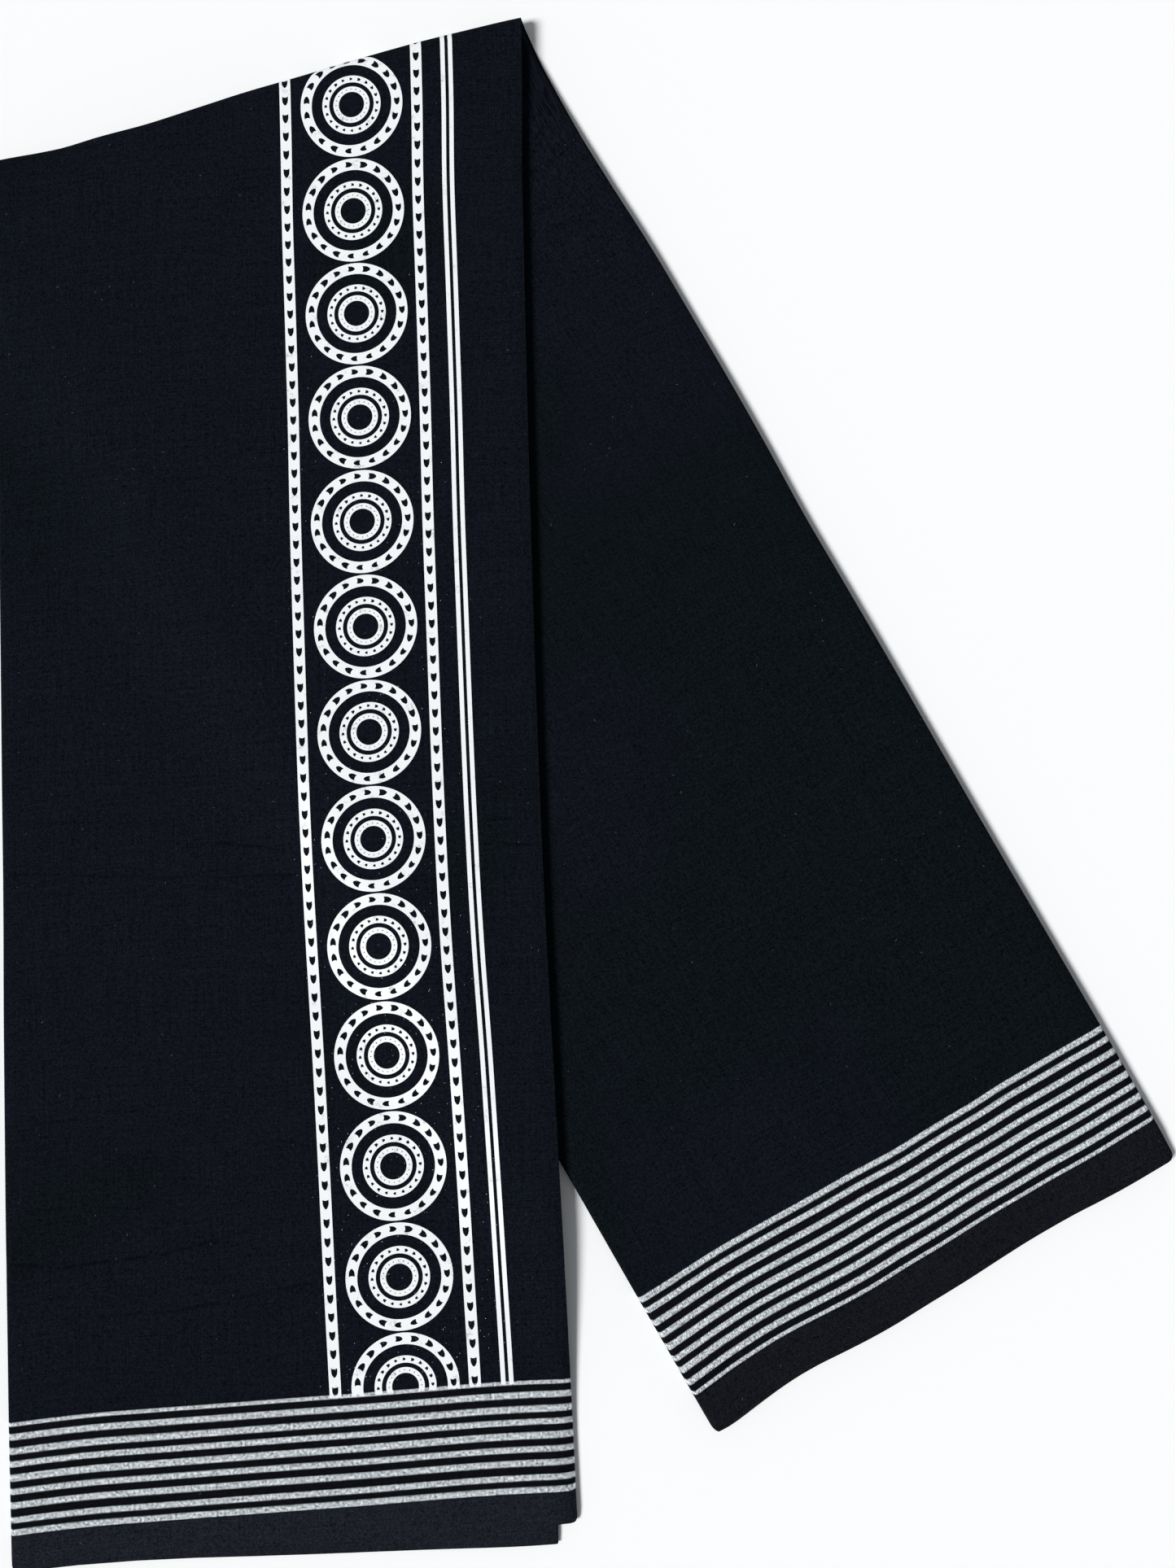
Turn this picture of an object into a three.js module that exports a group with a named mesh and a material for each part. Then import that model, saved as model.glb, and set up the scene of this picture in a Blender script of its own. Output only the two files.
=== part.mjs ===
// Folded cotton lungi. One long cloth is halved three times into an eight-layer strip,
// and the strip is folded once more, obliquely, so that two legs spread from the fold.
// Millimetres, +Z up. The floor is z = 0 and the origin is under the middle of the box.
import * as THREE from "three";

// ---------------------------------------------------------------- driving dimensions
const STACK = 4.4;            // thickness of one leg, eight layers of cloth
const WALL = 1.08;            // outer layer of a leg, drawn as one wall
const CORE = 1.6;             // the six hidden layers, drawn as one solid
const LEG_GAP = 0.3;          // air between the two legs where they cross
const SEAM = 0.3;             // air between pieces that meet side by side
const TURN_SEAM = 0.7;        // air where a lower-leg piece takes over from the turn
const HALF = STACK / 2;       // outermost layer offset from the middle of the stack
const WALL_MID = HALF - WALL / 2;
const NOSE_R = HALF + LEG_GAP / 2;       // turning radius of the middle of the stack
const NOSE_Z = STACK + LEG_GAP / 2;      // height of the turning axis
const LIFT = STACK + LEG_GAP;            // rise of the upper leg over the lower one
const NOSE_STEPS = 5;                    // facets round the oblique fold
const SPINE_STEPS = 5;                   // facets round the closed long edge
const CORNER = 4.0;                      // plan radius of the hem corners
const LAYER_SLIP = 2.4;                  // outer layers run on this far round the oblique fold
const SLIP_FADE = 115;                   // length over which that slip dies out
const CORE_STEPS = 3;                    // visible ledges on the hidden layers
const LEDGE = 2.2;                       // depth of one ledge
const LEDGE_RISE = 0.08;                 // run over which one ledge steps down to the next
const CORE_NOSE = [[0, 0.14], [0.12, 0.42], [0.45, 0.7], [0.8, 0.8]];   // closed rim: distance in, half thickness
const CORE_RIM = [[0.25, 0], [0.06, 0.12], [0, 0.22]];                  // open rim: distance in, thinning of each face
const UNDER_INSET = { fold: 0.6, hem: 8.6 };   // lower layers are this much narrower
const BACK_DROOP = { start: 16, drop: 2.5 };   // the top layer sinks this far toward its hem
const HEM_ZONE = 0.82;        // share of the upper leg after which hems may differ
const RIM_ZONE = 18;          // strip along the open edge where layers may differ in width

// drape of the upper leg past the lower leg's closed edge, and away from the fold
const DRAPE = { from: 8, to: 56 };
const FOLD_HOLD = { from: 10, to: 80 };

// plan points, before centring
const FOLD_LEFT = new THREE.Vector2(-272.5, 285.1);
const FOLD_RIGHT = new THREE.Vector2(-30.6, 352.3);
const FRONT_LEFT = new THREE.Vector2(-249.7, -340.7);
const FRONT_RIGHT = new THREE.Vector2(-4.6, -319.3);
const BACK_LEFT = new THREE.Vector2(55.4, -283.4);
const BACK_RIGHT = new THREE.Vector2(257.3, -164.7);

// each table: distance along the line, offset to its left-hand side (seen from above)
const FOLD_WAVE = [
  [0, -0.3], [8, -0.8], [20, -1.9], [32, -2.7], [50, -2.1], [73, -2.1], [96, -0.9],
  [120, 0.4], [145, 0.9], [180, 1.9], [205, 2.1], [228, 1.6], [244, 1.15], [251, 0.8],
];
const FRONT_RIGHT_WAVE = [
  [0, 0], [28, -0.6], [65, -2.0], [101, -2.6], [138, -3.1], [211, -3.9], [265, -4.3],
  [340, -4.5], [394, -4.2], [431, -3.7], [467, -3.0], [504, -2.3], [546, -1.5], [608, -0.7], [672, 0],
];
const FRONT_LEFT_WAVE = [
  [0, 0], [278, -0.2], [336, -0.3], [394, -0.7], [450, -0.9], [520, -0.8], [560, -0.7], [600, -0.3], [640, 0],
];
const BACK_RIGHT_WAVE = [
  [0, 0], [15, -1.35], [33, -1.6], [50, -1.4], [86, -0.1], [110, 1.1], [156, 1.8], [191, 1.9],
  [226, 1.6], [260, 0.8], [294, 0.95], [345, 1.1], [395, 0.8], [495, 1.0], [560, 0.95], [590, 0.6],
];

// hems of the upper leg: distance in from its right edge, distance past FRONT_RIGHT
const PRINTED_HEM = [
  [0, 1.2], [10, 2.0], [30, 2.7], [60, 3.6], [90, 5.4], [120, 6.3], [150, 7.1], [180, 7.8],
  [210, 8.6], [230, 9.8], [246, 11.6],
];
const UNDER_HEM = [
  [0, 9.2], [20, 9.9], [60, 9.7], [120, 9.7], [180, 9.3], [205, 9.6], [230, 11.0], [246, 11.9],
];
// hem of the lower leg: distance from BACK_LEFT, offset toward the fold
const BACK_HEM = [
  [0, -0.3], [9, -0.15], [22, 1.2], [35, 2.4], [44, 2.75], [54, 2.5], [65, 1.6], [77, 0.7],
  [90, 0.2], [108, 0.35], [127, 0.45], [146, 1.0], [159, 1.3], [171, 1.2], [184, 0.8],
  [196, 0], [208, -0.6], [220, -0.8], [234, -0.9],
];

// columns across a leg and rows along it
const FRONT_COLUMNS = 11;
const FRONT_ROWS = 27;
const BACK_COLUMNS = 11;
const BACK_ROWS = 13;
const EDGE_PROFILE = [[0, 0.35], [0.12, 0.66], [0.45, 0.93], [1.1, 1]];   // rounded rim: distance, share
const RIM_COLUMNS = [1.1, 0.45, 0.12, 0];
const FRONT_TAIL = [9, 1.1, 0.45, 0.12, 0];          // rows that close a hem, by distance from it
const BACK_TAIL = [17, 12.5, 9, 4.5, 1.1, 0.45, 0.12, 0];

// ---------------------------------------------------------------- small helpers
function table(rows, x) {
  if (x <= rows[0][0]) return rows[0][1];
  for (let i = 1; i < rows.length; i++) {
    if (x <= rows[i][0]) {
      const [x0, y0] = rows[i - 1];
      const [x1, y1] = rows[i];
      return y0 + ((y1 - y0) * (x - x0)) / (x1 - x0);
    }
  }
  return rows[rows.length - 1][1];
}

function smooth(x, from, to) {
  const t = THREE.MathUtils.clamp((x - from) / (to - from), 0, 1);
  return t * t * (3 - 2 * t);
}

const unit = (from, to) => to.clone().sub(from).normalize();
const leftOf = (d) => new THREE.Vector2(-d.y, d.x);
const cornerPull = (s) => (s >= CORNER ? 0 : CORNER - Math.sqrt(CORNER ** 2 - (CORNER - Math.max(s, 0)) ** 2));

// ---------------------------------------------------------------- plan of the two legs
const foldDir = unit(FOLD_LEFT, FOLD_RIGHT);
const foldOut = leftOf(foldDir);
const foldLength = FOLD_LEFT.distanceTo(FOLD_RIGHT);
const frontRightDir = unit(FOLD_RIGHT, FRONT_RIGHT);
const frontLeftDir = unit(FOLD_LEFT, FRONT_LEFT);
const frontLength = FOLD_RIGHT.distanceTo(FRONT_RIGHT);
const frontWidth = FRONT_LEFT.distanceTo(FRONT_RIGHT.clone().addScaledVector(frontRightDir, 11));
const obliquity = Math.acos(-frontRightDir.dot(foldOut));
const inset = NOSE_Z / Math.cos(obliquity);
const axisLeft = FOLD_LEFT.clone().addScaledVector(frontLeftDir, inset);
const axisRight = FOLD_RIGHT.clone().addScaledVector(frontRightDir, inset);
const backRightDir = unit(axisRight, BACK_RIGHT);
const backLeftDir = unit(axisLeft, BACK_LEFT);
const backHemDir = unit(BACK_LEFT, BACK_RIGHT);
const backWidth = BACK_LEFT.distanceTo(BACK_RIGHT);

function axisPoint(a) {
  return axisLeft.clone().lerp(axisRight, a).addScaledVector(foldOut, table(FOLD_WAVE, a * foldLength));
}

function frontHem(a, hem) {
  const s = (1 - a) * frontWidth;
  return FRONT_RIGHT.clone()
    .addScaledVector(frontRightDir, table(hem, s))
    .addScaledVector(leftOf(frontRightDir), -s);
}

function backHem(a) {
  return BACK_LEFT.clone()
    .lerp(BACK_RIGHT, a)
    .addScaledVector(leftOf(backHemDir), table(BACK_HEM, a * backWidth));
}

// bilinear leg with waved long edges; a runs from the closed edge to the open one.
// Every layer shares one grid, and a shorter layer is drawn back only near its hem.
function frontPlan(a, t, hem) {
  const start = axisPoint(a);
  const end = frontHem(a, UNDER_HEM);
  const s = (1 - a) * frontWidth;
  const drawnBack = (table(UNDER_HEM, s) - table(hem, s)) * smooth(t, HEM_ZONE, 1);
  const along = t * start.distanceTo(end) - drawnBack;
  return start
    .addScaledVector(unit(start, end), along)
    .addScaledVector(leftOf(frontLeftDir), (1 - a) * table(FRONT_LEFT_WAVE, along))
    .addScaledVector(leftOf(frontRightDir), a * table(FRONT_RIGHT_WAVE, along));
}

function backPlan(a, t, n) {
  const start = axisPoint(a);
  const end = backHem(a);
  const along = t * start.distanceTo(end);
  const slip = LAYER_SLIP * ((n + HALF) / STACK) * (1 - smooth(along, 0, SLIP_FADE));
  return start
    .lerp(end, t)
    .addScaledVector(leftOf(backRightDir), a * table(BACK_RIGHT_WAVE, along))
    .addScaledVector(foldDir, slip);
}

// how far the upper leg is still carried by the lower one, 1 on it and 0 on the floor
function carried(p) {
  const fromAxis = -p.clone().sub(axisLeft).dot(foldOut);
  const outside = -p.clone().sub(axisLeft).dot(leftOf(backLeftDir));
  const onLeg = 1 - smooth(outside, DRAPE.from, DRAPE.to);
  const nearFold = 1 - smooth(fromAxis, FOLD_HOLD.from, FOLD_HOLD.to);
  return 1 - (1 - onLeg) * (1 - nearFold);
}

// ---------------------------------------------------------------- stations
// A station maps (s, n), s mm from the closed edge and n mm from the middle of the stack,
// to a point. Stations follow one another along the cloth, and each has its own width.
function frontStation(t, hem) {
  const width = THREE.MathUtils.lerp(foldLength, frontWidth, t);
  const liftAt = (s) => LIFT * carried(frontPlan(s / width, t, UNDER_HEM));
  const inner = liftAt(width - RIM_ZONE);
  const outer = liftAt(width);
  return {
    width,
    t,
    point(s, n, pull) {
      const a = s / width;
      const p = frontPlan(a, t, hem);
      const dir = frontLeftDir.clone().lerp(frontRightDir, a);
      p.addScaledVector(dir, -pull);
      const intoRim = s - (width - RIM_ZONE);
      const lift = intoRim > 0
        ? THREE.MathUtils.lerp(inner, outer, intoRim / RIM_ZONE)
        : liftAt(Math.max(s, HALF));
      return new THREE.Vector3(p.x, p.y, HALF + lift + n);
    },
  };
}

function noseStation(phi) {
  return {
    width: foldLength,
    t: 0,
    point(s, n) {
      const r = NOSE_R + n;
      const p = axisPoint(s / foldLength);
      p.addScaledVector(foldOut, r * Math.sin(phi));
      p.addScaledVector(foldDir, (LAYER_SLIP * ((n + HALF) / STACK) * phi) / Math.PI);
      return new THREE.Vector3(p.x, p.y, NOSE_Z + r * Math.cos(phi));
    },
  };
}

function backStation(t) {
  const width = THREE.MathUtils.lerp(foldLength, backWidth, t);
  return {
    width,
    t,
    point(s, n, pull) {
      const a = s / width;
      const p = backPlan(a, t, n);
      const dir = backLeftDir.clone().lerp(backRightDir, a);
      p.addScaledVector(dir, -pull);
      const left = Math.abs(backHem(a).sub(p).dot(dir));
      const sunk = n < -CORE / 2 - 0.1 ? BACK_DROOP.drop * (1 - smooth(left, 0, BACK_DROOP.start)) : 0;
      return new THREE.Vector3(p.x, p.y, HALF - n - sunk);
    },
  };
}

// ---------------------------------------------------------------- sections
// A section is a list of {s, n, ds, dn, rim}: a middle line with its outward direction,
// and the distance to the nearest open rim, which rounds the wall there.
const innerColumns = (width, count) =>
  Array.from({ length: count }, (_, i) => HALF + ((width - RIM_ZONE - HALF) * (i + 1)) / count);

function flatRun(width, count, n, side, start, end, startRim) {
  // from s = start to s = end, the rim at the end rounded, and at the start when asked
  const out = [];
  const push = (s, rim) => out.push({ s, n, ds: 0, dn: side, rim });
  if (startRim) RIM_COLUMNS.slice().reverse().forEach((r) => push(start + r, r));
  else push(start, 99);
  innerColumns(width, count).forEach((s) => push(s, 99));
  RIM_COLUMNS.forEach((r) => push(end - r, r));
  return out;
}

function wrapSection(width, count, side, end, foldEnd) {
  // outer layer with the closed edge: the wall on one face and a half turn round the edge
  const centre = HALF;
  const run = flatRun(width, count, side * WALL_MID, side, centre, end, false);
  const arc = [];
  for (let i = SPINE_STEPS; i >= 1; i--) {
    const angle = (Math.PI * i) / SPINE_STEPS;
    const ds = -Math.sin(angle);
    const dn = side * Math.cos(angle);
    arc.push({ s: centre + ds * WALL_MID, n: dn * WALL_MID, ds, dn, rim: foldEnd && i === SPINE_STEPS ? 0.5 : 99 });
  }
  return arc.concat(run);
}

function rimShare(distance) {
  return distance >= 1.1 ? 1 : table(EDGE_PROFILE, distance);
}

// ---------------------------------------------------------------- solids
function closedSlab(upper, lower) {
  // two matching grids [row][column] joined all round into one closed body
  const rows = upper.length;
  const cols = upper[0].length;
  const position = [];
  upper.concat(lower).forEach((row) => row.forEach((p) => position.push(p.x, p.y, p.z)));
  const id = (layer, j, i) => (layer * rows + j) * cols + i;
  const index = [];
  const quad = (a, b, c, d) => index.push(a, b, c, a, c, d);
  for (let j = 0; j + 1 < rows; j++) {
    for (let i = 0; i + 1 < cols; i++) {
      quad(id(0, j, i), id(0, j, i + 1), id(0, j + 1, i + 1), id(0, j + 1, i));
      quad(id(1, j, i), id(1, j + 1, i), id(1, j + 1, i + 1), id(1, j, i + 1));
    }
    quad(id(0, j, 0), id(0, j + 1, 0), id(1, j + 1, 0), id(1, j, 0));
    quad(id(0, j, cols - 1), id(1, j, cols - 1), id(1, j + 1, cols - 1), id(0, j + 1, cols - 1));
  }
  for (let i = 0; i + 1 < cols; i++) {
    quad(id(0, 0, i), id(1, 0, i), id(1, 0, i + 1), id(0, 0, i + 1));
    quad(id(0, rows - 1, i), id(0, rows - 1, i + 1), id(1, rows - 1, i + 1), id(1, rows - 1, i));
  }
  const geometry = new THREE.BufferGeometry();
  geometry.setAttribute("position", new THREE.Float32BufferAttribute(position, 3));
  geometry.setIndex(index);
  if (signedVolume(geometry) < 0) {
    const flipped = geometry.getIndex().array.slice();
    for (let k = 0; k < flipped.length; k += 3) [flipped[k + 1], flipped[k + 2]] = [flipped[k + 2], flipped[k + 1]];
    geometry.setIndex(new THREE.BufferAttribute(flipped, 1));
  }
  return geometry;
}

function signedVolume(geometry) {
  const p = geometry.getAttribute("position");
  const ix = geometry.getIndex().array;
  const v = [new THREE.Vector3(), new THREE.Vector3(), new THREE.Vector3()];
  let total = 0;
  for (let k = 0; k < ix.length; k += 3) {
    v.forEach((q, m) => q.fromBufferAttribute(p, ix[k + m]));
    total += v[0].dot(v[1].clone().cross(v[2]));
  }
  return total / 6;
}

// rows along a leg; the last rows close the hem with a rounded rim
function legRows(count, length, distances) {
  const tail = distances.map((d) => 1 - d / length);
  const rows = [];
  for (let j = 0; j < count; j++) rows.push({ t: (tail[0] * j) / count, rim: 99 });
  tail.forEach((t) => rows.push({ t, rim: (1 - t) * length }));
  return rows;
}

function slabFrom(stations, section, half) {
  const upper = [];
  const lower = [];
  stations.forEach(({ station, rim }) => {
    const list = section(station);
    const sMax = list[list.length - 1].s;
    const make = (sign) =>
      list.map((c) => {
        const share = half(c, station) * Math.min(rimShare(rim), rimShare(c.rim)) * sign;
        const closeToHem = rim < 99 || station.t > 0.9;
        const pull = closeToHem ? cornerPull(sMax - c.s) * smooth(station.t, 0.9, 1) : 0;
        return station.point(c.s + c.ds * share, c.n + c.dn * share, pull);
      });
    upper.push(make(1));
    lower.push(make(-1));
  });
  return closedSlab(upper, lower);
}

const noseRows = [];
for (let k = NOSE_STEPS; k >= 1; k--) noseRows.push({ station: noseStation((Math.PI * k) / NOSE_STEPS), rim: 99 });
const frontRows = (hem) =>
  noseRows.concat(legRows(FRONT_ROWS, frontLength, FRONT_TAIL).map(({ t, rim }) => ({ station: frontStation(t, hem), rim })));
const backLength = axisRight.distanceTo(BACK_RIGHT);
const backStart = TURN_SEAM / backLength;
const backRows = (tEnd = 1) =>
  legRows(BACK_ROWS, backLength, BACK_TAIL).map(({ t, rim }) => ({
    station: backStation(backStart + (tEnd - backStart) * t),
    rim,
  }));

// ---------------------------------------------------------------- the six pieces
const wallHalf = () => WALL / 2;
const underEdge = (station) =>
  station.width - THREE.MathUtils.lerp(UNDER_INSET.fold, UNDER_INSET.hem, station.t ** 2);

// hidden layers: one solid whose rims step down like a stack of folds
function coreSlab(stations, count, edge, ledgesUp) {
  const upper = [];
  const lower = [];
  const full = CORE / 2;
  const drop = CORE / CORE_STEPS;
  const tip = full - drop * (CORE_STEPS - 1);
  stations.forEach(({ station, fromHem }) => {
    const end = edge(station);
    const start = HALF - full;
    const list = [];
    const push = (s, hi, lo) => list.push({ s, hi, lo });
    CORE_NOSE.forEach(([s, n]) => push(start + s, n, -n));
    const last = end - LEDGE * CORE_STEPS;
    innerColumns(station.width, count).forEach((s) => push(s, full, -full));
    push(last, full, -full);
    for (let k = 1; k < CORE_STEPS; k++) {
      push(last + LEDGE * k, full - drop * (k - 1) - 0.02, -full);
      push(last + LEDGE * k + LEDGE_RISE, full - drop * k, -full);
    }
    CORE_RIM.forEach(([s, n]) => push(end - s, tip - n, n - full));
    const ledge = Math.min(CORE_STEPS - 1, Math.floor(fromHem / LEDGE));
    const cap = full - drop * (CORE_STEPS - 1 - ledge);
    const sMax = list[list.length - 1].s;
    const row = (top) =>
      list.map((c) => {
        const n = top ? Math.min(c.hi, cap) : c.lo;
        const pull = station.t > 0.9 ? cornerPull(sMax - c.s) * smooth(station.t, 0.9, 1) : 0;
        return station.point(c.s, ledgesUp ? n : -n, pull);
      });
    upper.push(row(true));
    lower.push(row(false));
  });
  return closedSlab(upper, lower);
}

function coreRows(count, length, make, hemBack) {
  // hemBack: how far inside the hem the longest ledge ends
  const rows = [];
  const full = length - hemBack;
  const last = full - LEDGE * CORE_STEPS;
  for (let j = 0; j <= count; j++) rows.push({ at: (last * j) / count, fromHem: 99 });
  for (let k = CORE_STEPS - 1; k >= 1; k--) {
    rows.push({ at: full - LEDGE * k - LEDGE_RISE, fromHem: LEDGE * k + LEDGE_RISE });
    rows.push({ at: full - LEDGE * k, fromHem: LEDGE * k - 0.02 });
  }
  rows.push({ at: full, fromHem: 0 });
  return rows.map(({ at, fromHem }) => ({ station: make(at / length), fromHem }));
}

const frontCoreRows = noseRows
  .map(({ station }) => ({ station, fromHem: 99 }))
  .concat(coreRows(FRONT_ROWS, frontLength, (t) => frontStation(t, UNDER_HEM), 2.0));
const backCoreRows = coreRows(BACK_ROWS, backLength, (t) => backStation(Math.max(t, backStart)), 11.0);

const pieces = {
  front_printed_layer: slabFrom(
    frontRows(PRINTED_HEM),
    (st) => wrapSection(st.width, FRONT_COLUMNS, 1, st.width, true),
    wallHalf,
  ),
  front_hidden_layers: coreSlab(frontCoreRows, FRONT_COLUMNS, (st) => underEdge(st) - 0.9, true),
  front_under_layer: slabFrom(
    frontRows(UNDER_HEM),
    (st) => flatRun(st.width, FRONT_COLUMNS, -WALL_MID, -1, HALF + SEAM, underEdge(st), true),
    wallHalf,
  ),
  back_face_layer: slabFrom(
    backRows(),
    (st) => wrapSection(st.width, BACK_COLUMNS, -1, st.width, true),
    wallHalf,
  ),
  back_hidden_layers: coreSlab(backCoreRows, BACK_COLUMNS, (st) => st.width - 0.9, false),
  back_under_layer: slabFrom(
    backRows(1 - 4.5 / backLength),
    (st) => flatRun(st.width, BACK_COLUMNS, WALL_MID, 1, HALF + SEAM, st.width, true),
    wallHalf,
  ),
};

// ---------------------------------------------------------------- scene graph
const FINISH = {
  front_printed_layer: { color: 0x15171a, roughness: 0.93 },
  front_hidden_layers: { color: 0x111315, roughness: 0.95 },
  front_under_layer: { color: 0x141619, roughness: 0.94 },
  back_face_layer: { color: 0x16181b, roughness: 0.93 },
  back_hidden_layers: { color: 0x111315, roughness: 0.95 },
  back_under_layer: { color: 0x141619, roughness: 0.94 },
};

const lungi = new THREE.Group();
Object.entries(pieces).forEach(([name, geometry]) => {
  const { color, roughness } = FINISH[name];
  geometry.computeVertexNormals();
  const mesh = new THREE.Mesh(geometry, new THREE.MeshStandardMaterial({ color, roughness, metalness: 0 }));
  mesh.name = name;
  lungi.add(mesh);
});

// centre the cloth over the origin, its underside on z = 0
const box = new THREE.Box3().setFromObject(lungi);
const middle = box.getCenter(new THREE.Vector3());
lungi.position.set(-middle.x, -middle.y, -box.min.z);

export default lungi;
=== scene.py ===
"""Cotton lungi, folded into a strip and turned over on a slant, lying flat on a pale floor.

The cloth is one long piece. It is halved three times lengthwise into eight layers, and the
strip is then folded once more, obliquely, so that a printed leg lies over a plain one. All
sizes here are millimetres until a mesh is made, and metres after that.
"""

from __future__ import annotations

import logging
import math
from dataclasses import dataclass
from enum import Enum
from functools import cached_property
from typing import Any, Callable, Iterable, Sequence

import bmesh
import bpy
import numpy as np
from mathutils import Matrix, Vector

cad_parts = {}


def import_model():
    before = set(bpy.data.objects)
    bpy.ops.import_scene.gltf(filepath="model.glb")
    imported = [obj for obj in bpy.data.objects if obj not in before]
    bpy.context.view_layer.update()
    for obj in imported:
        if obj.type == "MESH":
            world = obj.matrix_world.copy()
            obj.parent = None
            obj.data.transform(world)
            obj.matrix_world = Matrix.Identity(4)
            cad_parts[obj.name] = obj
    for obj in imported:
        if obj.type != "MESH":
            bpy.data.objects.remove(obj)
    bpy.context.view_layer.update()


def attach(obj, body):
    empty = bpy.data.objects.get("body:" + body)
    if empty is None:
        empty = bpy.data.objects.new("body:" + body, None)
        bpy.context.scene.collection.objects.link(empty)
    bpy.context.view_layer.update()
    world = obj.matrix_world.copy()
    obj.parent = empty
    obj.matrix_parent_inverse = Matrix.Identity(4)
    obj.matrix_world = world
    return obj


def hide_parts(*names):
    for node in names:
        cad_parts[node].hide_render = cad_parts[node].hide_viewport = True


LOG = logging.getLogger("lungi")
MM = 0.001
TAU = 2 * math.pi
CLOTH_SHARP, FILM_SHARP = math.radians(50), math.radians(60)
WELD = 2e-6
SHADER_TREE = "ShaderNodeTree"
Table = tuple[tuple[float, float], ...]
Colour = tuple[float, float, float]
Section = list[tuple[float, float]]
Grid = tuple[np.ndarray, np.ndarray]
Socket = bpy.types.NodeSocket
Inputs = dict[str, Socket]
Groups = dict[str, bpy.types.NodeTree]
FLOAT, VECTOR, WHOLE = "NodeSocketFloat", "NodeSocketVector", "NodeSocketInt"
GEOMETRY, MATERIAL, OBJECT = "NodeSocketGeometry", "NodeSocketMaterial", "NodeSocketObject"


# --------------------------------------------------------------------------- numbers
def along(rows: Table, x: Any) -> np.ndarray:
    """Read a two-column table as a smooth curve.

    Args:
        rows: Pairs of position and value, positions rising.
        x: Positions to read, clamped to the table.

    Returns:
        The values there, on Hermite curves through the rows.
    """
    xs, ys = np.array(rows, float).T
    x = np.clip(np.asarray(x, float), xs[0], xs[-1])
    slope = np.gradient(ys, xs)
    i = np.clip(np.searchsorted(xs, x, side="right") - 1, 0, len(xs) - 2)
    h = xs[i + 1] - xs[i]
    t = (x - xs[i]) / h
    t2, t3 = t * t, t * t * t
    near = (2 * t3 - 3 * t2 + 1) * ys[i] + (t3 - 2 * t2 + t) * h * slope[i]
    return near + (3 * t2 - 2 * t3) * ys[i + 1] + (t3 - t2) * h * slope[i + 1]


def smooth(x: Any, start: float, end: float) -> np.ndarray:
    """Return a soft step from 0 at start to 1 at end."""
    t = np.clip((np.asarray(x, float) - start) / (end - start), 0.0, 1.0)
    return t * t * (3 - 2 * t)


def unit(v: np.ndarray) -> np.ndarray:
    """Return the vector with length one."""
    return v / np.linalg.norm(v)


def left_of(v: np.ndarray) -> np.ndarray:
    """Return a plan direction turned a quarter to its left."""
    return np.array([-v[1], v[0]])


def lengths(v: np.ndarray) -> np.ndarray:
    """Return the length of each row's vector."""
    return np.linalg.norm(v, axis=1)


def spaced(start: float, end: float, step: float, rim: Sequence[float]) -> list[float]:
    """Return rising positions, closer together at the end.

    Args:
        start: First position.
        end: Last position.
        step: Usual spacing.
        rim: Falling distances before the end that get a position of their own.

    Returns:
        The positions.
    """
    inner = end - rim[0]
    count = max(1, round((inner - start) / step))
    out = [start + (inner - start) * i / count for i in range(count + 1)]
    return out + [end - r for r in rim[1:]] + [end]


# a radius below zero makes a turn that bulges toward the closed edge
def half_turn(c: float, n: float, radius: float, steps: int) -> Section:
    """Return the inner points of a layer's half turn about a centre at c and n."""
    angles = [math.pi * k / steps for k in range(1, steps)]
    return [(c + radius * math.sin(t), n + abs(radius) * math.cos(t)) for t in angles]


# --------------------------------------------------------------------------- the fold
@dataclass(frozen=True)
class Crease:
    """A pressed line on the printed layer, from start to end.

    Its points are distances in from the open edge and up from the upper hem. The cloth is
    sunk by depth along it, and mark is how strongly the line is drawn in the material: sunk in
    the bump and darkened as painted shade.
    """

    start: tuple[float, float]
    end: tuple[float, float]
    depth: float
    mark: float


CREASES: tuple[Crease, ...] = (
    Crease((241, 299), (204, 294), 0.56, 0.7),
    Crease((204, 294), (161, 290), 0.48, 0.5),
    Crease((236, 321), (164, 314), 0.40, 0.4),
    Crease((151, 305.5), (127, 301.5), 0.72, 1.0),
    Crease((127, 301.5), (111, 297.5), 0.48, 0.5),
    Crease((147, 289), (111, 288), 0.48, 0.7),
    Crease((31, 306), (13, 306), 0.40, 0.6),
    Crease((32, 295.5), (5, 294), 0.48, 0.8),
    Crease((242, 129), (219.5, 124.6), 0.48, 0.7),
    Crease((219.5, 124.6), (175.4, 126.7), 0.80, 1.0),
    Crease((175.4, 126.7), (133, 135), 0.56, 0.7),
    Crease((220, 102.5), (171, 102), 0.40, 0.5),
    Crease((171, 102), (109, 110), 0.56, 0.7),
)


class Stretch(Enum):
    """The three stretches that the strip passes through."""

    UPPER = "upper leg"
    TURN = "oblique turn"
    LOWER = "lower leg"


@dataclass(frozen=True)
class Row:
    """One line across the strip: its stretch, and how far along that stretch it lies.

    On a leg that is the share of the way from the fold to the hem, and round the turn it
    is the angle from the upper leg.
    """

    stretch: Stretch
    at: float


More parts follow.
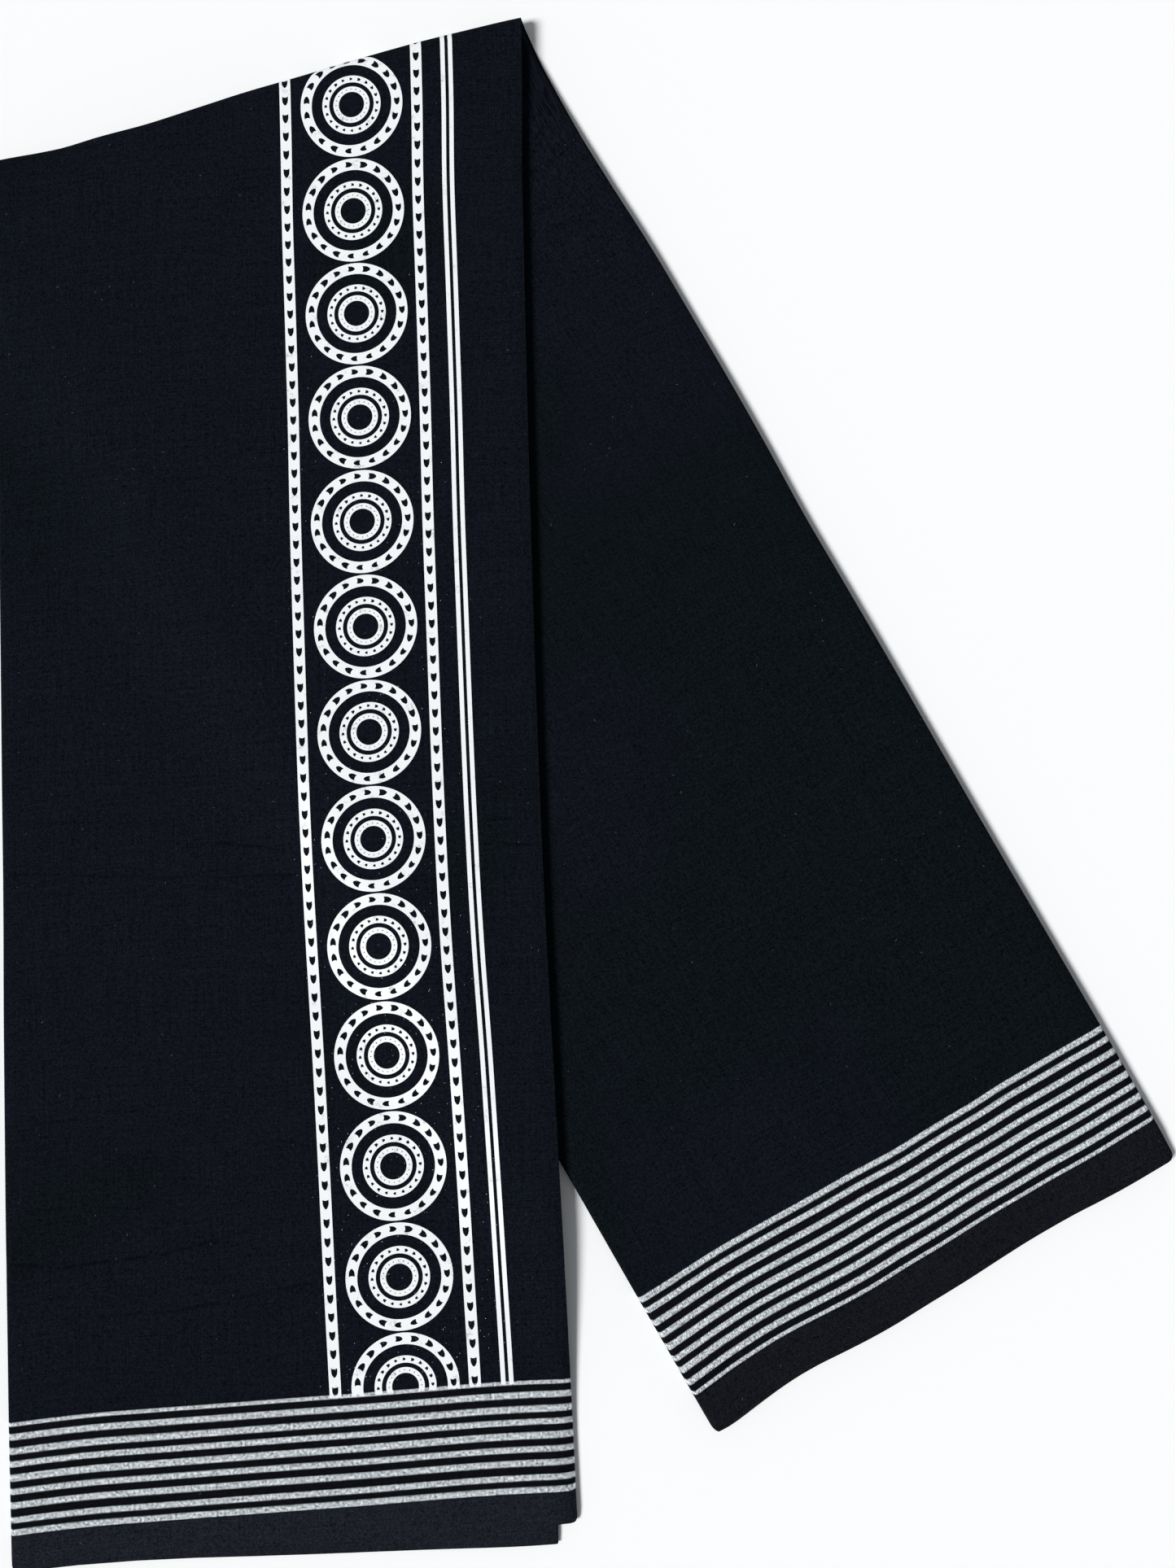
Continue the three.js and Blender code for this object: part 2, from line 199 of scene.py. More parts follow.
@dataclass(frozen=True)
class FoldedStrip:
    """Where each layer of the folded strip lies.

    A point of the strip is given by c, its distance from the closed long edge, n, its
    height above the middle of the stack on the upper leg, and a row. A share a of the
    width runs from 0 at the closed edge to 1 at the open one.
    """

    width: float = 245.0
    cloth_width: float = 1270.0
    stack: float = 4.4
    pitch: float = 0.55
    wall: float = 0.36
    leg_gap: float = 0.3
    floor_clear: float = 0.05
    lowest: float = 0.25
    fold_left: tuple[float, float] = (-272.5, 285.1)
    fold_right: tuple[float, float] = (-30.6, 352.3)
    upper_left: tuple[float, float] = (-249.7, -340.7)
    upper_right: tuple[float, float] = (-4.6, -319.3)
    lower_left: tuple[float, float] = (55.4, -283.4)
    lower_right: tuple[float, float] = (257.3, -164.7)
    centring: tuple[float, float] = (7.739, -6.181)
    step: float = 5.0
    turn_steps: int = 16
    legs: tuple[float, float] = (650.0, 620.0)
    hem_rows: tuple[float, ...] = (7.0, 3.5, 1.6, 0.6)
    slip: float = 2.4
    slip_fade: float = 115.0
    # height over which the lower layers' hem takes over from the upper ones'
    split_band: float = 0.4
    layer_creep: float = 0.25
    drawn_back: float = 5.0
    drawn_from: float = 0.8
    drape: tuple[float, float] = (8.0, 56.0)
    fold_hold: tuple[float, float] = (10.0, 80.0)
    under_inset: tuple[float, float] = (0.6, 8.8)
    inset_fade: float = 0.1
    # how far the top layer sinks at the upper leg's open edge, its hem and the lower leg's edge
    edge_sinks: tuple[float, float, float] = (0.45, 0.4, 0.4)
    edge_reach: float = 4.0
    lower_hem_sink: tuple[float, float] = (1.1, 14.0)
    hang_curve: float = 0.028
    hang_limit: float = 1.7
    corner_radii: tuple[float, float] = (2.0, 3.6)
    corner_fade: float = 25.0
    crease_spread: float = 5.5
    crease_fade: float = 8.0
    crease_ramp: float = 0.2
    relief_start: float = 30.0
    relief_shares: tuple[float, float] = (0.6, 0.5)
    # height, plan direction, wavelength and phase of each slow wave
    relief_waves: tuple[tuple[float, ...], ...] = (
        (0.20, 0.93, 0.36, 148, 1.1), (0.16, -0.42, 0.91, 103, 0.4), (0.09, 0.75, -0.66, 61, 2.2),
    )
    fold_wave: Table = (
        (0, -0.3), (8, -0.8), (20, -1.9), (32, -2.7), (50, -2.1), (73, -2.1), (96, -0.9),
        (120, 0.4), (145, 0.9), (180, 1.9), (205, 2.1), (228, 1.6), (244, 1.15), (251, 0.8),
    )
    upper_right_wave: Table = (
        (0, 0), (28, -0.6), (65, -2.0), (101, -2.6), (138, -3.1), (211, -3.9), (265, -4.3),
        (340, -4.5), (394, -4.2), (431, -3.7), (467, -3.0), (504, -2.3), (546, -1.5),
        (608, -0.7), (672, 0),
    )
    upper_left_wave: Table = (
        (0, 0), (278, -0.2), (336, -0.3), (394, -0.7), (450, -0.9), (520, -0.8),
        (560, -0.7), (600, -0.3), (640, 0),
    )
    lower_right_wave: Table = (
        (0, 0), (15, -1.35), (33, -1.6), (50, -1.4), (86, -0.1), (110, 1.1), (156, 1.8),
        (191, 1.9), (226, 1.6), (260, 0.8), (294, 0.95), (345, 1.1), (395, 0.8), (495, 1.0),
        (560, 0.95), (590, 0.6),
    )
    printed_hem: Table = (
        (0, 1.5), (20, 1.5), (40, 1.9), (60, 2.7), (90, 4.0), (120, 5.0), (150, 6.0),
        (180, 7.0), (210, 8.2), (230, 9.7), (240, 10.6), (246, 11.2),
    )
    under_hem: Table = (
        (0, 10.0), (20, 10.7), (60, 10.6), (120, 10.6), (180, 10.2), (205, 10.7), (230, 12.1),
        (246, 13.4),
    )
    lower_hem: Table = (
        (0, -0.3), (9, -0.15), (22, 1.2), (35, 2.4), (44, 2.75), (54, 2.5), (65, 1.6),
        (77, 0.7), (90, 0.2), (108, 0.35), (127, 0.45), (146, 1.0), (159, 1.3), (171, 1.2),
        (184, 0.8), (196, 0), (208, -0.6), (220, -0.8), (234, -0.9),
    )
    # rims of the lower leg's striped border, as distance from its hem, by c
    border_outer: Table = (
        (0, 18.4), (9, 19.2), (19, 19.2), (34, 18.5), (54, 18.1), (74, 18.3), (94, 18.3),
        (114, 18.4), (134, 18.3), (154, 18.1), (174, 17.7), (194, 18.0), (214, 18.6),
        (224, 18.9), (234, 19.1),
    )
    border_inner: Table = (
        (0, 67.6), (9, 67.6), (19, 66.9), (34, 66.0), (54, 65.6), (74, 66.6), (94, 66.9),
        (114, 66.3), (134, 65.2), (154, 64.9), (174, 64.6), (194, 65.7), (214, 66.6),
        (224, 66.8), (234, 66.6),
    )
    border_edge: float = 18.5
    border_depth: float = 48.1
    # share of the lower leg that takes up what its measured border leaves over
    fitted_share: float = 0.5

    @property
    def half(self) -> float:
        """Half the stack's thickness."""
        return self.stack / 2

    @property
    def turn_height(self) -> float:
        """Height of the axis of the oblique fold."""
        return self.stack + self.leg_gap / 2

    @property
    def turn_radius(self) -> float:
        """Radius of the middle of the stack round the oblique fold."""
        return self.half + self.leg_gap / 2

    @cached_property
    def plan(self) -> dict[str, Any]:
        """Plan points and directions that the legs are laid out from.

        Returns:
            Directions of the fold and of each leg's edges, and points on the fold and the hems.
        """
        fl, fr = np.array(self.fold_left), np.array(self.fold_right)
        ul, ur = np.array(self.upper_left), np.array(self.upper_right)
        ll, lr = np.array(self.lower_left), np.array(self.lower_right)
        fold, right, left = unit(fr - fl), unit(ur - fr), unit(ul - fl)
        inset = self.turn_height / float(-right @ left_of(fold))
        al, ar = fl + left * inset, fr + right * inset
        return {
            "fold": fold, "out": left_of(fold), "right": right, "left": left, "al": al, "ar": ar,
            "low_right": unit(lr - ar), "low_left": unit(ll - al), "ur": ur, "ll": ll, "lr": lr,
            "fold_length": np.linalg.norm(fr - fl), "hem_length": np.linalg.norm(lr - ll),
        }

    def axis(self, a: np.ndarray) -> np.ndarray:
        """Return plan points on the axis of the oblique fold.

        Args:
            a: Shares of the width.

        Returns:
            An array of x and y.
        """
        f = self.plan
        wave = along(self.fold_wave, a * f["fold_length"])
        return f["al"] + np.outer(a, f["ar"] - f["al"]) + np.outer(wave, f["out"])

    def upper_hem(self, a: np.ndarray, n: np.ndarray) -> np.ndarray:
        """Return plan points on the upper leg's hem, where the lower layers reach further.

        Args:
            a: Shares of the width.
            n: Heights in the stack.

        Returns:
            An array of x and y.
        """
        f, s = self.plan, (1 - a) * self.width
        low = np.clip(0.5 - n / self.split_band, 0, 1)
        past = (1 - low) * along(self.printed_hem, s) + low * along(self.under_hem, s)
        past = past - self.layer_creep * np.abs(n - np.where(n > 0, self.half, -self.split_band / 2))
        return f["ur"] + np.outer(past, f["right"]) - np.outer(s, left_of(f["right"]))

    def lower_hem_at(self, a: np.ndarray) -> np.ndarray:
        """Return plan points on the lower leg's hem.

        Args:
            a: Shares of the width.

        Returns:
            An array of x and y.
        """
        f = self.plan
        wave = along(self.lower_hem, a * f["hem_length"])
        return f["ll"] + np.outer(a, f["lr"] - f["ll"]) + np.outer(wave, left_of(unit(f["lr"] - f["ll"])))

    def upper_length(self, c: np.ndarray, n: np.ndarray) -> np.ndarray:
        """Return the length of the upper leg at each c, from the fold's axis to the hem."""
        return lengths(self.upper_hem(c / self.width, n) - self.axis(c / self.width))

    def lower_length(self, c: np.ndarray) -> np.ndarray:
        """Return the length of the lower leg at each c, from the fold's axis to the hem."""
        return lengths(self.lower_hem_at(c / self.width) - self.axis(c / self.width))

    def rows(self) -> list[Row]:
        """Return the rows of the whole strip.

        Returns:
            The rows, from the upper hem round the fold to the lower hem.
        """
        upper, lower = (
            [d / leg for d in spaced(0.0, leg, self.step, self.hem_rows)] for leg in self.legs
        )
        turn = [math.pi * k / self.turn_steps for k in range(1, self.turn_steps)]
        runs = zip(Stretch, (reversed(upper), turn, lower))
        return [Row(stretch, at) for stretch, places in runs for at in places]

    def open_edge(self, row: Row, low: bool) -> float:
        """Return how far the open long edge lies from the closed one.

        Args:
            row: The line across the strip.
            low: True for the four lower layers, which are narrower at the upper hem.

        Returns:
            The distance.
        """
        fold, hem = self.under_inset
        inset = {
            Stretch.UPPER: fold + (hem - fold) * row.at**2,
            Stretch.TURN: fold,
            Stretch.LOWER: fold * float(1 - smooth(row.at, 0, self.inset_fade)),
        }[row.stretch]
        return self.width - inset if low else self.width

    def _relief(self, p: np.ndarray) -> np.ndarray:
        """Return the cloth's slow unevenness at plan points."""
        waves = ((h, p @ (kx, ky) / run, phase) for h, kx, ky, run, phase in self.relief_waves)
        return sum(h * np.sin(TAU * turns + phase) for h, turns, phase in waves)

    def _creases(self, u: np.ndarray, v: np.ndarray) -> np.ndarray:
        """Return the soft troughs along the creases.

        Args:
            u: Distances in from the open edge.
            v: Distances up from the upper hem.

        Returns:
            Heights, zero or below.
        """
        out = np.zeros(len(u))
        for crease in CREASES:
            start = np.array(crease.start)
            run = float(np.linalg.norm(np.array(crease.end) - start))
            direction = (np.array(crease.end) - start) / run
            rel = np.column_stack([u, v]) - start
            t, off = rel @ direction, rel @ left_of(direction) / self.crease_spread
            ends = [smooth(x, -self.crease_fade, self.crease_ramp * run) for x in (t, run - t)]
            out = np.minimum(out, -crease.depth * ends[0] * ends[1] * np.exp(-(off**2)))
        return out

    def _corners(self, c: np.ndarray, from_hem: np.ndarray, radius: float) -> np.ndarray:
        """Return how far points near a hem's two corners are drawn back to round them.

        Args:
            c: Distances from the closed edge.
            from_hem: Distances from the hem.
            radius: Radius of the corners.

        Returns:
            Distances back from the hem.
        """
        pull = np.zeros(len(c))
        for edge in (self.width - c, c):
            inside = radius - np.clip(edge, 0, radius)
            pull += radius - np.sqrt(radius**2 - inside**2)
        return pull * (1 - smooth(from_hem, 0, self.corner_fade))

    def _placed(self, p: np.ndarray, z: np.ndarray) -> np.ndarray:
        """Return plan points and heights as world points."""
        return np.column_stack([p + np.array(self.centring), z + self.floor_clear])

    def point(self, c: np.ndarray, n: np.ndarray, row: Row) -> np.ndarray:
        """Return the world place of points on one row.

        Args:
            c: Distances from the closed long edge.
            n: Heights in the stack, seen on the upper leg.
            row: The line across the strip.

        Returns:
            An array of x, y and z.
        """
        if row.stretch is Stretch.UPPER:
            return self._upper(c, n, row.at * self.upper_length(c, n))
        if row.stretch is Stretch.TURN:
            return self._turned(c, n, np.full(len(c), row.at))
        return self._lower(c, n, row.at * self.lower_length(c))

    def _upper(self, c: np.ndarray, n: np.ndarray, dist: np.ndarray) -> np.ndarray:
        """Return points of the upper leg.

        Args:
            c: Distances from the closed long edge.
            n: Heights in the stack.
            dist: Distances from the fold's axis.

        Returns:
            An array of x, y and z.
        """
        f, a, share = self.plan, c / self.width, (n + self.half) / self.stack
        start, end = self.axis(a), self.upper_hem(a, n)
        length = lengths(end - start)
        p = start + (end - start) * (dist / length)[:, None]
        p += np.outer((1 - a) * along(self.upper_left_wave, dist), left_of(f["left"]))
        p += np.outer(a * along(self.upper_right_wave, dist), left_of(f["right"]))
        edge, from_hem = self.width - c, length - dist
        p -= np.outer(self._corners(c, from_hem, self.corner_radii[0]), f["right"])
        from_axis, outside = -(p - f["al"]) @ f["out"], -(p - f["al"]) @ left_of(f["low_left"])
        lift = 1 - smooth(outside, *self.drape) * smooth(from_axis, *self.fold_hold)
        at_edge, at_hem = (1 - smooth(x, 0, self.edge_reach) for x in (edge, from_hem))
        fall = self.edge_sinks[0] * at_edge + self.edge_sinks[1] * at_hem
        fold, hem = self.under_inset
        beyond = np.clip(fold + (hem - fold) * (dist / length) ** 2 - edge, 0, None)
        hang = np.where(n > 0, np.minimum(self.hang_limit, self.hang_curve * beyond**2), 0.0)
        uneven = self.relief_shares[0] * self._relief(p) + self._creases(edge, from_hem)
        z = self.half + (self.stack + self.leg_gap) * lift + n - hang * (1 - lift)
        z += share * (uneven * smooth(dist, 0, self.relief_start) - fall)
        return self._placed(p, np.maximum(z, self.lowest))

    def _turned(self, c: np.ndarray, n: np.ndarray, angle: np.ndarray) -> np.ndarray:
        """Return points round the oblique fold.

        Args:
            c: Distances from the closed long edge.
            n: Heights in the stack.
            angle: Angles from the upper leg.

        Returns:
            An array of x, y and z.
        """
        f, r = self.plan, self.turn_radius + n
        slip = self.slip * (n + self.half) / self.stack * angle / math.pi
        p = self.axis(c / self.width) + np.outer(r * np.sin(angle), f["out"]) + np.outer(slip, f["fold"])
        return self._placed(p, self.turn_height + r * np.cos(angle))

    def _lower(self, c: np.ndarray, n: np.ndarray, dist: np.ndarray) -> np.ndarray:
        """Return points of the lower leg.

        Args:
            c: Distances from the closed long edge.
            n: Heights in the stack, seen on the upper leg.
            dist: Distances from the fold's axis.

        Returns:
            An array of x, y and z.
        """
        f, a, share = self.plan, c / self.width, (n + self.half) / self.stack
        start, end = self.axis(a), self.lower_hem_at(a)
        length = lengths(end - start)
        shorter = share * self.drawn_back * smooth(dist / length, self.drawn_from, 1.0)
        dist = dist - shorter
        p = start + (end - start) * (dist / length)[:, None]
        p += np.outer(a * along(self.lower_right_wave, dist), left_of(f["low_right"]))
        p += np.outer(self.slip * share * (1 - smooth(dist, 0, self.slip_fade)), f["fold"])
        p -= np.outer(self._corners(c, length - dist - shorter, self.corner_radii[1]), f["low_right"])
        sink, reach = self.lower_hem_sink
        fall = self.edge_sinks[2] * (1 - smooth(self.width - c, 0, self.edge_reach))
        fall += sink * (1 - smooth(length - dist, 0, reach))
        uneven = self.relief_shares[1] * self._relief(p) * smooth(dist, 0, self.relief_start)
        return self._placed(p, self.half - n + (1 - share) * (uneven - fall))

    def on_outer_layer(self, u: np.ndarray, v: np.ndarray, n: float) -> np.ndarray:
        """Return world points of the printed layer.

        Args:
            u: Distances in from the open long edge.
            v: Distances from the upper hem along the cloth.
            n: Height in the stack, so a film can lie just above the layer.

        Returns:
            An array of x, y and z.
        """
        c, level, bend = self.width - u, np.full(len(u), n), math.pi * self.turn_height
        past = v - self.upper_length(c, level)
        out = np.empty((len(u), 3))
        for on, place in (
            (past <= 0, lambda i: self._upper(c[i], level[i], -past[i])),
            ((past > 0) & (past <= bend), lambda i: self._turned(c[i], level[i], past[i] / bend * math.pi)),
            (past > bend, lambda i: self._lower(c[i], level[i], past[i] - bend)),
        ):
            out[on] = place(on)
        return out

    def from_upper_hem(self, c: np.ndarray, n: np.ndarray, row: Row) -> np.ndarray:
        """Return each point's distance from the upper hem along the cloth.

        On the lower leg the figure is set so that the woven border keeps its true distances
        from that hem, and the plain stretch between takes up what is left.

        Args:
            c: Distances from the closed long edge.
            n: Heights in the stack.
            row: The line across the strip.

        Returns:
            The distances.
        """
        upper = self.upper_length(c, n)
        if row.stretch is Stretch.UPPER:
            return upper * (1 - row.at)
        if row.stretch is Stretch.TURN:
            return upper + (self.turn_radius + n) * row.at
        back = self.lower_length(c) * (1 - row.at)
        outer, inner = along(self.border_outer, c), along(self.border_inner, c)
        edge, depth = self.border_edge, self.border_depth
        in_border = edge + (back - outer) / (inner - outer) * depth
        before = edge + depth + (back - inner)
        shown = np.where(back < outer, back / outer * edge, np.where(back < inner, in_border, before))
        start, far = upper + math.pi * (self.turn_radius + n), self.cloth_width - shown
        fitted = start + (far - start) * smooth(row.at, 0, self.fitted_share)
        return np.where(row.at < self.fitted_share, fitted, far)

    def grid(self, rows: Iterable[Row], section: Callable[[Row], Section], start: float = 0.0) -> Grid:
        """Return one section of layers carried over some rows.

        Args:
            rows: The rows.
            section: What gives the section's points on a row, as c and n.
            start: Cloth coordinate of the section's first point.

        Returns:
            Points [row, column, 3] and cloth coordinates [row, column, 2].
        """
        points, cloth = [], []
        for row in rows:
            c, n = np.array(section(row)).T
            run = np.concatenate([[0.0], np.cumsum(np.hypot(np.diff(c), np.diff(n)))])
            points.append(self.point(c, n, row))
            cloth.append(np.column_stack([start + run, self.from_upper_hem(c, n, row)]))
        return np.array(points), np.array(cloth)


# --------------------------------------------------------------------------- meshes
def added(name: str, data: bpy.types.ID) -> bpy.types.Object:
    """Make an object at the origin and link it to the scene.

    Args:
        name: Its name.
        data: Its mesh, camera or light.

    Returns:
        The object.
    """
    obj = bpy.data.objects.new(name, data)
    bpy.context.scene.collection.objects.link(obj)
    return obj


def baked(obj: bpy.types.Object) -> bpy.types.Object:
    """Turn an object's modifiers into a plain mesh.

    Args:
        obj: Object whose modifiers are set.

    Returns:
        The same object, with no modifier left.
    """
    graph = bpy.context.evaluated_depsgraph_get()
    mesh = bpy.data.meshes.new_from_object(obj.evaluated_get(graph), depsgraph=graph)
    obj.modifiers.clear()
    mesh.name = obj.name
    obj.data = mesh
    LOG.info("%s: %d faces", obj.name, len(mesh.polygons))
    return obj


def set_cloth_coordinates(mesh: bpy.types.Mesh, places: np.ndarray) -> None:
    """Give a mesh its UV map.

    Args:
        mesh: The mesh.
        places: Each vertex's place on the cloth, in millimetres.
    """
    index = np.empty(len(mesh.loops), np.int32)
    mesh.loops.foreach_get("vertex_index", index)
    mesh.uv_layers.new(name="cloth").data.foreach_set("uv", (places * MM)[index].ravel())


def walled(obj: bpy.types.Object, wall: float, offset: float, sharp: float) -> bpy.types.Object:
    """Give a cloth surface its thickness and soft shading.

    Args:
        obj: Object with an open cloth surface.
        wall: Thickness in millimetres.
        offset: Zero for a wall on both sides of the surface, one for a wall above it.
        sharp: Angle past which an edge is drawn sharp.

    Returns:
        The same object, with a plain closed mesh.
    """
    solid = obj.modifiers.new("wall", "SOLIDIFY")
    solid.thickness = wall * MM
    solid.offset = offset
    baked(obj)
    obj.data.polygons.foreach_set("use_smooth", [True] * len(obj.data.polygons))
    obj.data.set_sharp_from_angle(angle=sharp)
    return obj


def cloth_piece(name: str, grids: Iterable[Grid], material: bpy.types.Material,
                wall: float) -> bpy.types.Object:
    """Build a piece of cloth from grids of points, with touching grid edges welded.

    Args:
        name: Name of the piece.
        grids: Points and cloth coordinates in millimetres.
        material: Its finish.
        wall: Its thickness in millimetres.

    Returns:
        The finished piece.
    """
    verts, places, faces, base = [], [], [], 0
    for points, cloth in grids:
        ids = base + np.arange(points[..., 0].size).reshape(points.shape[:2])
        quads = np.stack([ids[:-1, :-1], ids[:-1, 1:], ids[1:, 1:], ids[1:, :-1]], -1)
        verts.append(points.reshape(-1, 3) * MM)
        places.append(cloth.reshape(-1, 2))
        faces.append(quads.reshape(-1, 4))
        base += ids.size
    mesh = bpy.data.meshes.new(name)
    mesh.from_pydata(np.concatenate(verts).tolist(), [], np.concatenate(faces).tolist())
    set_cloth_coordinates(mesh, np.concatenate(places))
    bm = bmesh.new()
    bm.from_mesh(mesh)
    bmesh.ops.remove_doubles(bm, verts=bm.verts, dist=WELD)
    bm.to_mesh(mesh)
    bm.free()
    mesh.materials.append(material)
    return walled(added(name, mesh), wall, 0.0, CLOTH_SHARP)


def grown(name: str, mesh: bpy.types.Mesh, tree: bpy.types.NodeTree,
          values: dict[str, Any]) -> bpy.types.Object:
    """Grow a Geometry Nodes tree on a mesh and keep the result as a plain mesh.

    Args:
        name: Name of the piece.
        mesh: What the tree grows on.
        tree: The tree.
        values: Inputs by name, where the tree's own defaults don't serve.

    Returns:
        The piece.
    """
    host = added(name, mesh)
    mod = host.modifiers.new("tree", "NODES")
    mod.node_group = tree
    for item in tree.interface.items_tree:
        if item.in_out == "INPUT" and item.name in values:
            mod[item.identifier] = values[item.name]
    return baked(host)


# --------------------------------------------------------------------------- node trees
@dataclass
class Wiring:
    """A node tree with short ways to add and join nodes."""

    tree: bpy.types.NodeTree

    def node(self, kind: str, settings: dict[str, Any] | None = None, **inputs: Any) -> bpy.types.Node:
        """Add a node.

        Args:
            kind: The node's type name.
            settings: Properties of the node itself.
            **inputs: Input sockets by name, spaces written as underscores, or by number
                after the letter i. A socket is linked and anything else is set as the value.

        Returns:
            The node.
        """
        node = self.tree.nodes.new(kind)
        for key, value in (settings or {}).items():
            setattr(node, key, value)
        for key, value in inputs.items():
            self.feed(node.inputs[int(key[1:]) if key[1:].isdigit() else key.replace("_", " ")], value)
        return node

    def feed(self, socket: Socket, value: Any) -> None:
        """Link a socket to the input, or set its value.

        Args:
            socket: The input socket.
            value: An output socket or a plain value.
        """
        if isinstance(value, bpy.types.NodeSocket):
            self.tree.links.new(value, socket)
        else:
            socket.default_value = value

    def geo(self, kind: str, **inputs: Any) -> Socket:
        """Add a Geometry Nodes node and return its first output."""
        return self.node("GeometryNode" + kind, **inputs).outputs[0]

    def group(self, tree: bpy.types.NodeTree, **inputs: Any) -> Inputs:
        """Add a shader group and return its outputs by name."""
        return dict(self.node("ShaderNodeGroup", {"node_tree": tree}, **inputs).outputs.items())

    def math(self, operation: str, *values: Any, clamp: bool = False) -> Socket:
        """Return the output of a Math node over up to three sockets or numbers."""
        inputs = {f"i{k}": value for k, value in enumerate(values)}
        return self.node("ShaderNodeMath", {"operation": operation, "use_clamp": clamp}, **inputs).outputs[0]

    def vector(self, operation: str, *values: Any, **named: Any) -> bpy.types.Node:
        """Return a Vector Math node over up to two vectors, with Scale by name."""
        inputs = {f"i{k}": value for k, value in enumerate(values)}
        return self.node("ShaderNodeVectorMath", {"operation": operation}, **inputs, **named)

    def blend(self, factor: Any, low: Any, high: Any) -> Socket:
        """Return a colour mixed from low to high by the factor."""
        low, high = ((*x, 1) if isinstance(x, tuple) else x for x in (low, high))
        return self.node("ShaderNodeMix", {"data_type": "RGBA"}, i0=factor, i6=low, i7=high).outputs[2]

    def pick(self, factor: Any, first: Any, second: Any) -> Socket:
        """Return the first value where the factor is 0 and the second where it is 1."""
        return self.node("ShaderNodeMix", i0=factor, i2=first, i3=second).outputs[0]

    def soft(self, value: Any, start: float, end: float) -> Socket:
        """Return a smooth step of the value from 0 at start to 1 at end."""
        step = {"interpolation_type": "SMOOTHSTEP"}
        return self.node("ShaderNodeMapRange", step, Value=value, From_Min=start, From_Max=end).outputs[0]

    def noise(self, place: Socket, scale: Any, detail: float, roughness: float = 0.5) -> Socket:
        """Return soft noise read at a place."""
        return self.node("ShaderNodeTexNoise", Vector=place, Scale=scale, Detail=detail,
                         Roughness=roughness).outputs[0]

    def split(self, vector: Socket) -> Any:
        """Return a vector's three parts."""
        return self.node("ShaderNodeSeparateXYZ", Vector=vector).outputs

    def joined(self, x: Any = 0.0, y: Any = 0.0, z: Any = 0.0) -> Socket:
        """Return a vector of three parts."""
        return self.node("ShaderNodeCombineXYZ", X=x, Y=y, Z=z).outputs[0]

    def vary(self, low: float, high: float, seed: Socket, shift: float = 0.0) -> Socket:
        """Return a random number from low to high, its seed moved on by shift."""
        return self.node("FunctionNodeRandomValue", {"data_type": "FLOAT"}, i2=low, i3=high,
                         Seed=self.math("ADD", seed, shift) if shift else seed).outputs[1]


def started(name: str, kind: str, inputs: Sequence[tuple[str, str, Any]],
            outputs: Sequence[str]) -> tuple[Wiring, Inputs, bpy.types.Node]:
    """Start a node group.

    Args:
        name: Name of the group.
        kind: Type of its tree.
        inputs: Name, socket type and default of each input.
        outputs: Name of each output, plain numbers in a shader tree and shapes otherwise.

    Returns:
        The wiring, the input sockets by name, and the group's output node.
    """
    tree = bpy.data.node_groups.new(name, kind)
    for label, socket_type, default in inputs:
        socket = tree.interface.new_socket(label, in_out="INPUT", socket_type=socket_type)
        if default is not None:
            socket.default_value = default
    for label in outputs:
        socket_type = FLOAT if kind == SHADER_TREE else GEOMETRY
        tree.interface.new_socket(label, in_out="OUTPUT", socket_type=socket_type)
    wire = Wiring(tree)
    return wire, dict(wire.node("NodeGroupInput").outputs.items()), wire.node("NodeGroupOutput")


def new_material(name: str) -> tuple[bpy.types.Material, Wiring]:
    """Make an empty material.

    Args:
        name: Its name.

    Returns:
        The material and its wiring.
    """
    mat = bpy.data.materials.new(name)
    mat.use_nodes = True
    mat.node_tree.nodes.clear()
    return mat, Wiring(mat.node_tree)


def surfaced(wire: Wiring, **inputs: Any) -> None:
    """Add the surface shader with the given inputs, and the material's output."""
    shader = wire.node("ShaderNodeBsdfPrincipled", **inputs)
    wire.node("ShaderNodeOutputMaterial", Surface=shader.outputs[0])


def plain_weave_group() -> bpy.types.NodeTree:
    """Build the group that draws a plain weave.

    Returns:
        The group, with the thread relief, yarn tone and speckle of single crossings.
    """
    wire, inp, out = started(
        "plain_weave", SHADER_TREE,
        [("Cloth", VECTOR, None), ("Ends per metre", FLOAT, 2400.0), ("Picks per metre", FLOAT, 2300.0)],
        ["Relief", "Tone", "Speckle"],
    )
    xyz = wire.split(inp["Cloth"])
    x = wire.math("MULTIPLY", xyz[0], inp["Ends per metre"])
    y = wire.math("MULTIPLY", xyz[1], inp["Picks per metre"])
    waves = [wire.math("SINE", wire.math("MULTIPLY", k, math.pi)) for k in (x, y)]
    wire.feed(out.inputs["Relief"], wire.math("MULTIPLY_ADD", wire.math("MULTIPLY", *waves), 0.5, 0.5))
    slow = 0.012
    tones = [wire.noise(wire.joined(wire.math("MULTIPLY", x, p), wire.math("MULTIPLY", y, q)), 1.0, 2.0)
             for p, q in ((slow, 1.0), (1.0, slow))]
    wire.feed(out.inputs["Tone"], wire.math("MULTIPLY", wire.math("ADD", *tones), 0.5))
    crossing = wire.joined(wire.math("FLOOR", x), wire.math("FLOOR", y))
    dots = wire.node("ShaderNodeTexWhiteNoise", {"noise_dimensions": "2D"}, Vector=crossing)
    wire.feed(out.inputs["Speckle"], dots.outputs["Value"])
    return wire.tree


# start and end of each woven stripe, from the outermost, in millimetres
BORDER_STRIPES: Table = (
    (0.28, 2.77), (5.48, 7.97), (11.58, 14.17), (17.48, 19.92), (23.08, 25.92), (29.03, 31.52),
    (34.33, 37.12), (40.43, 43.02), (46.15, 47.8),
)
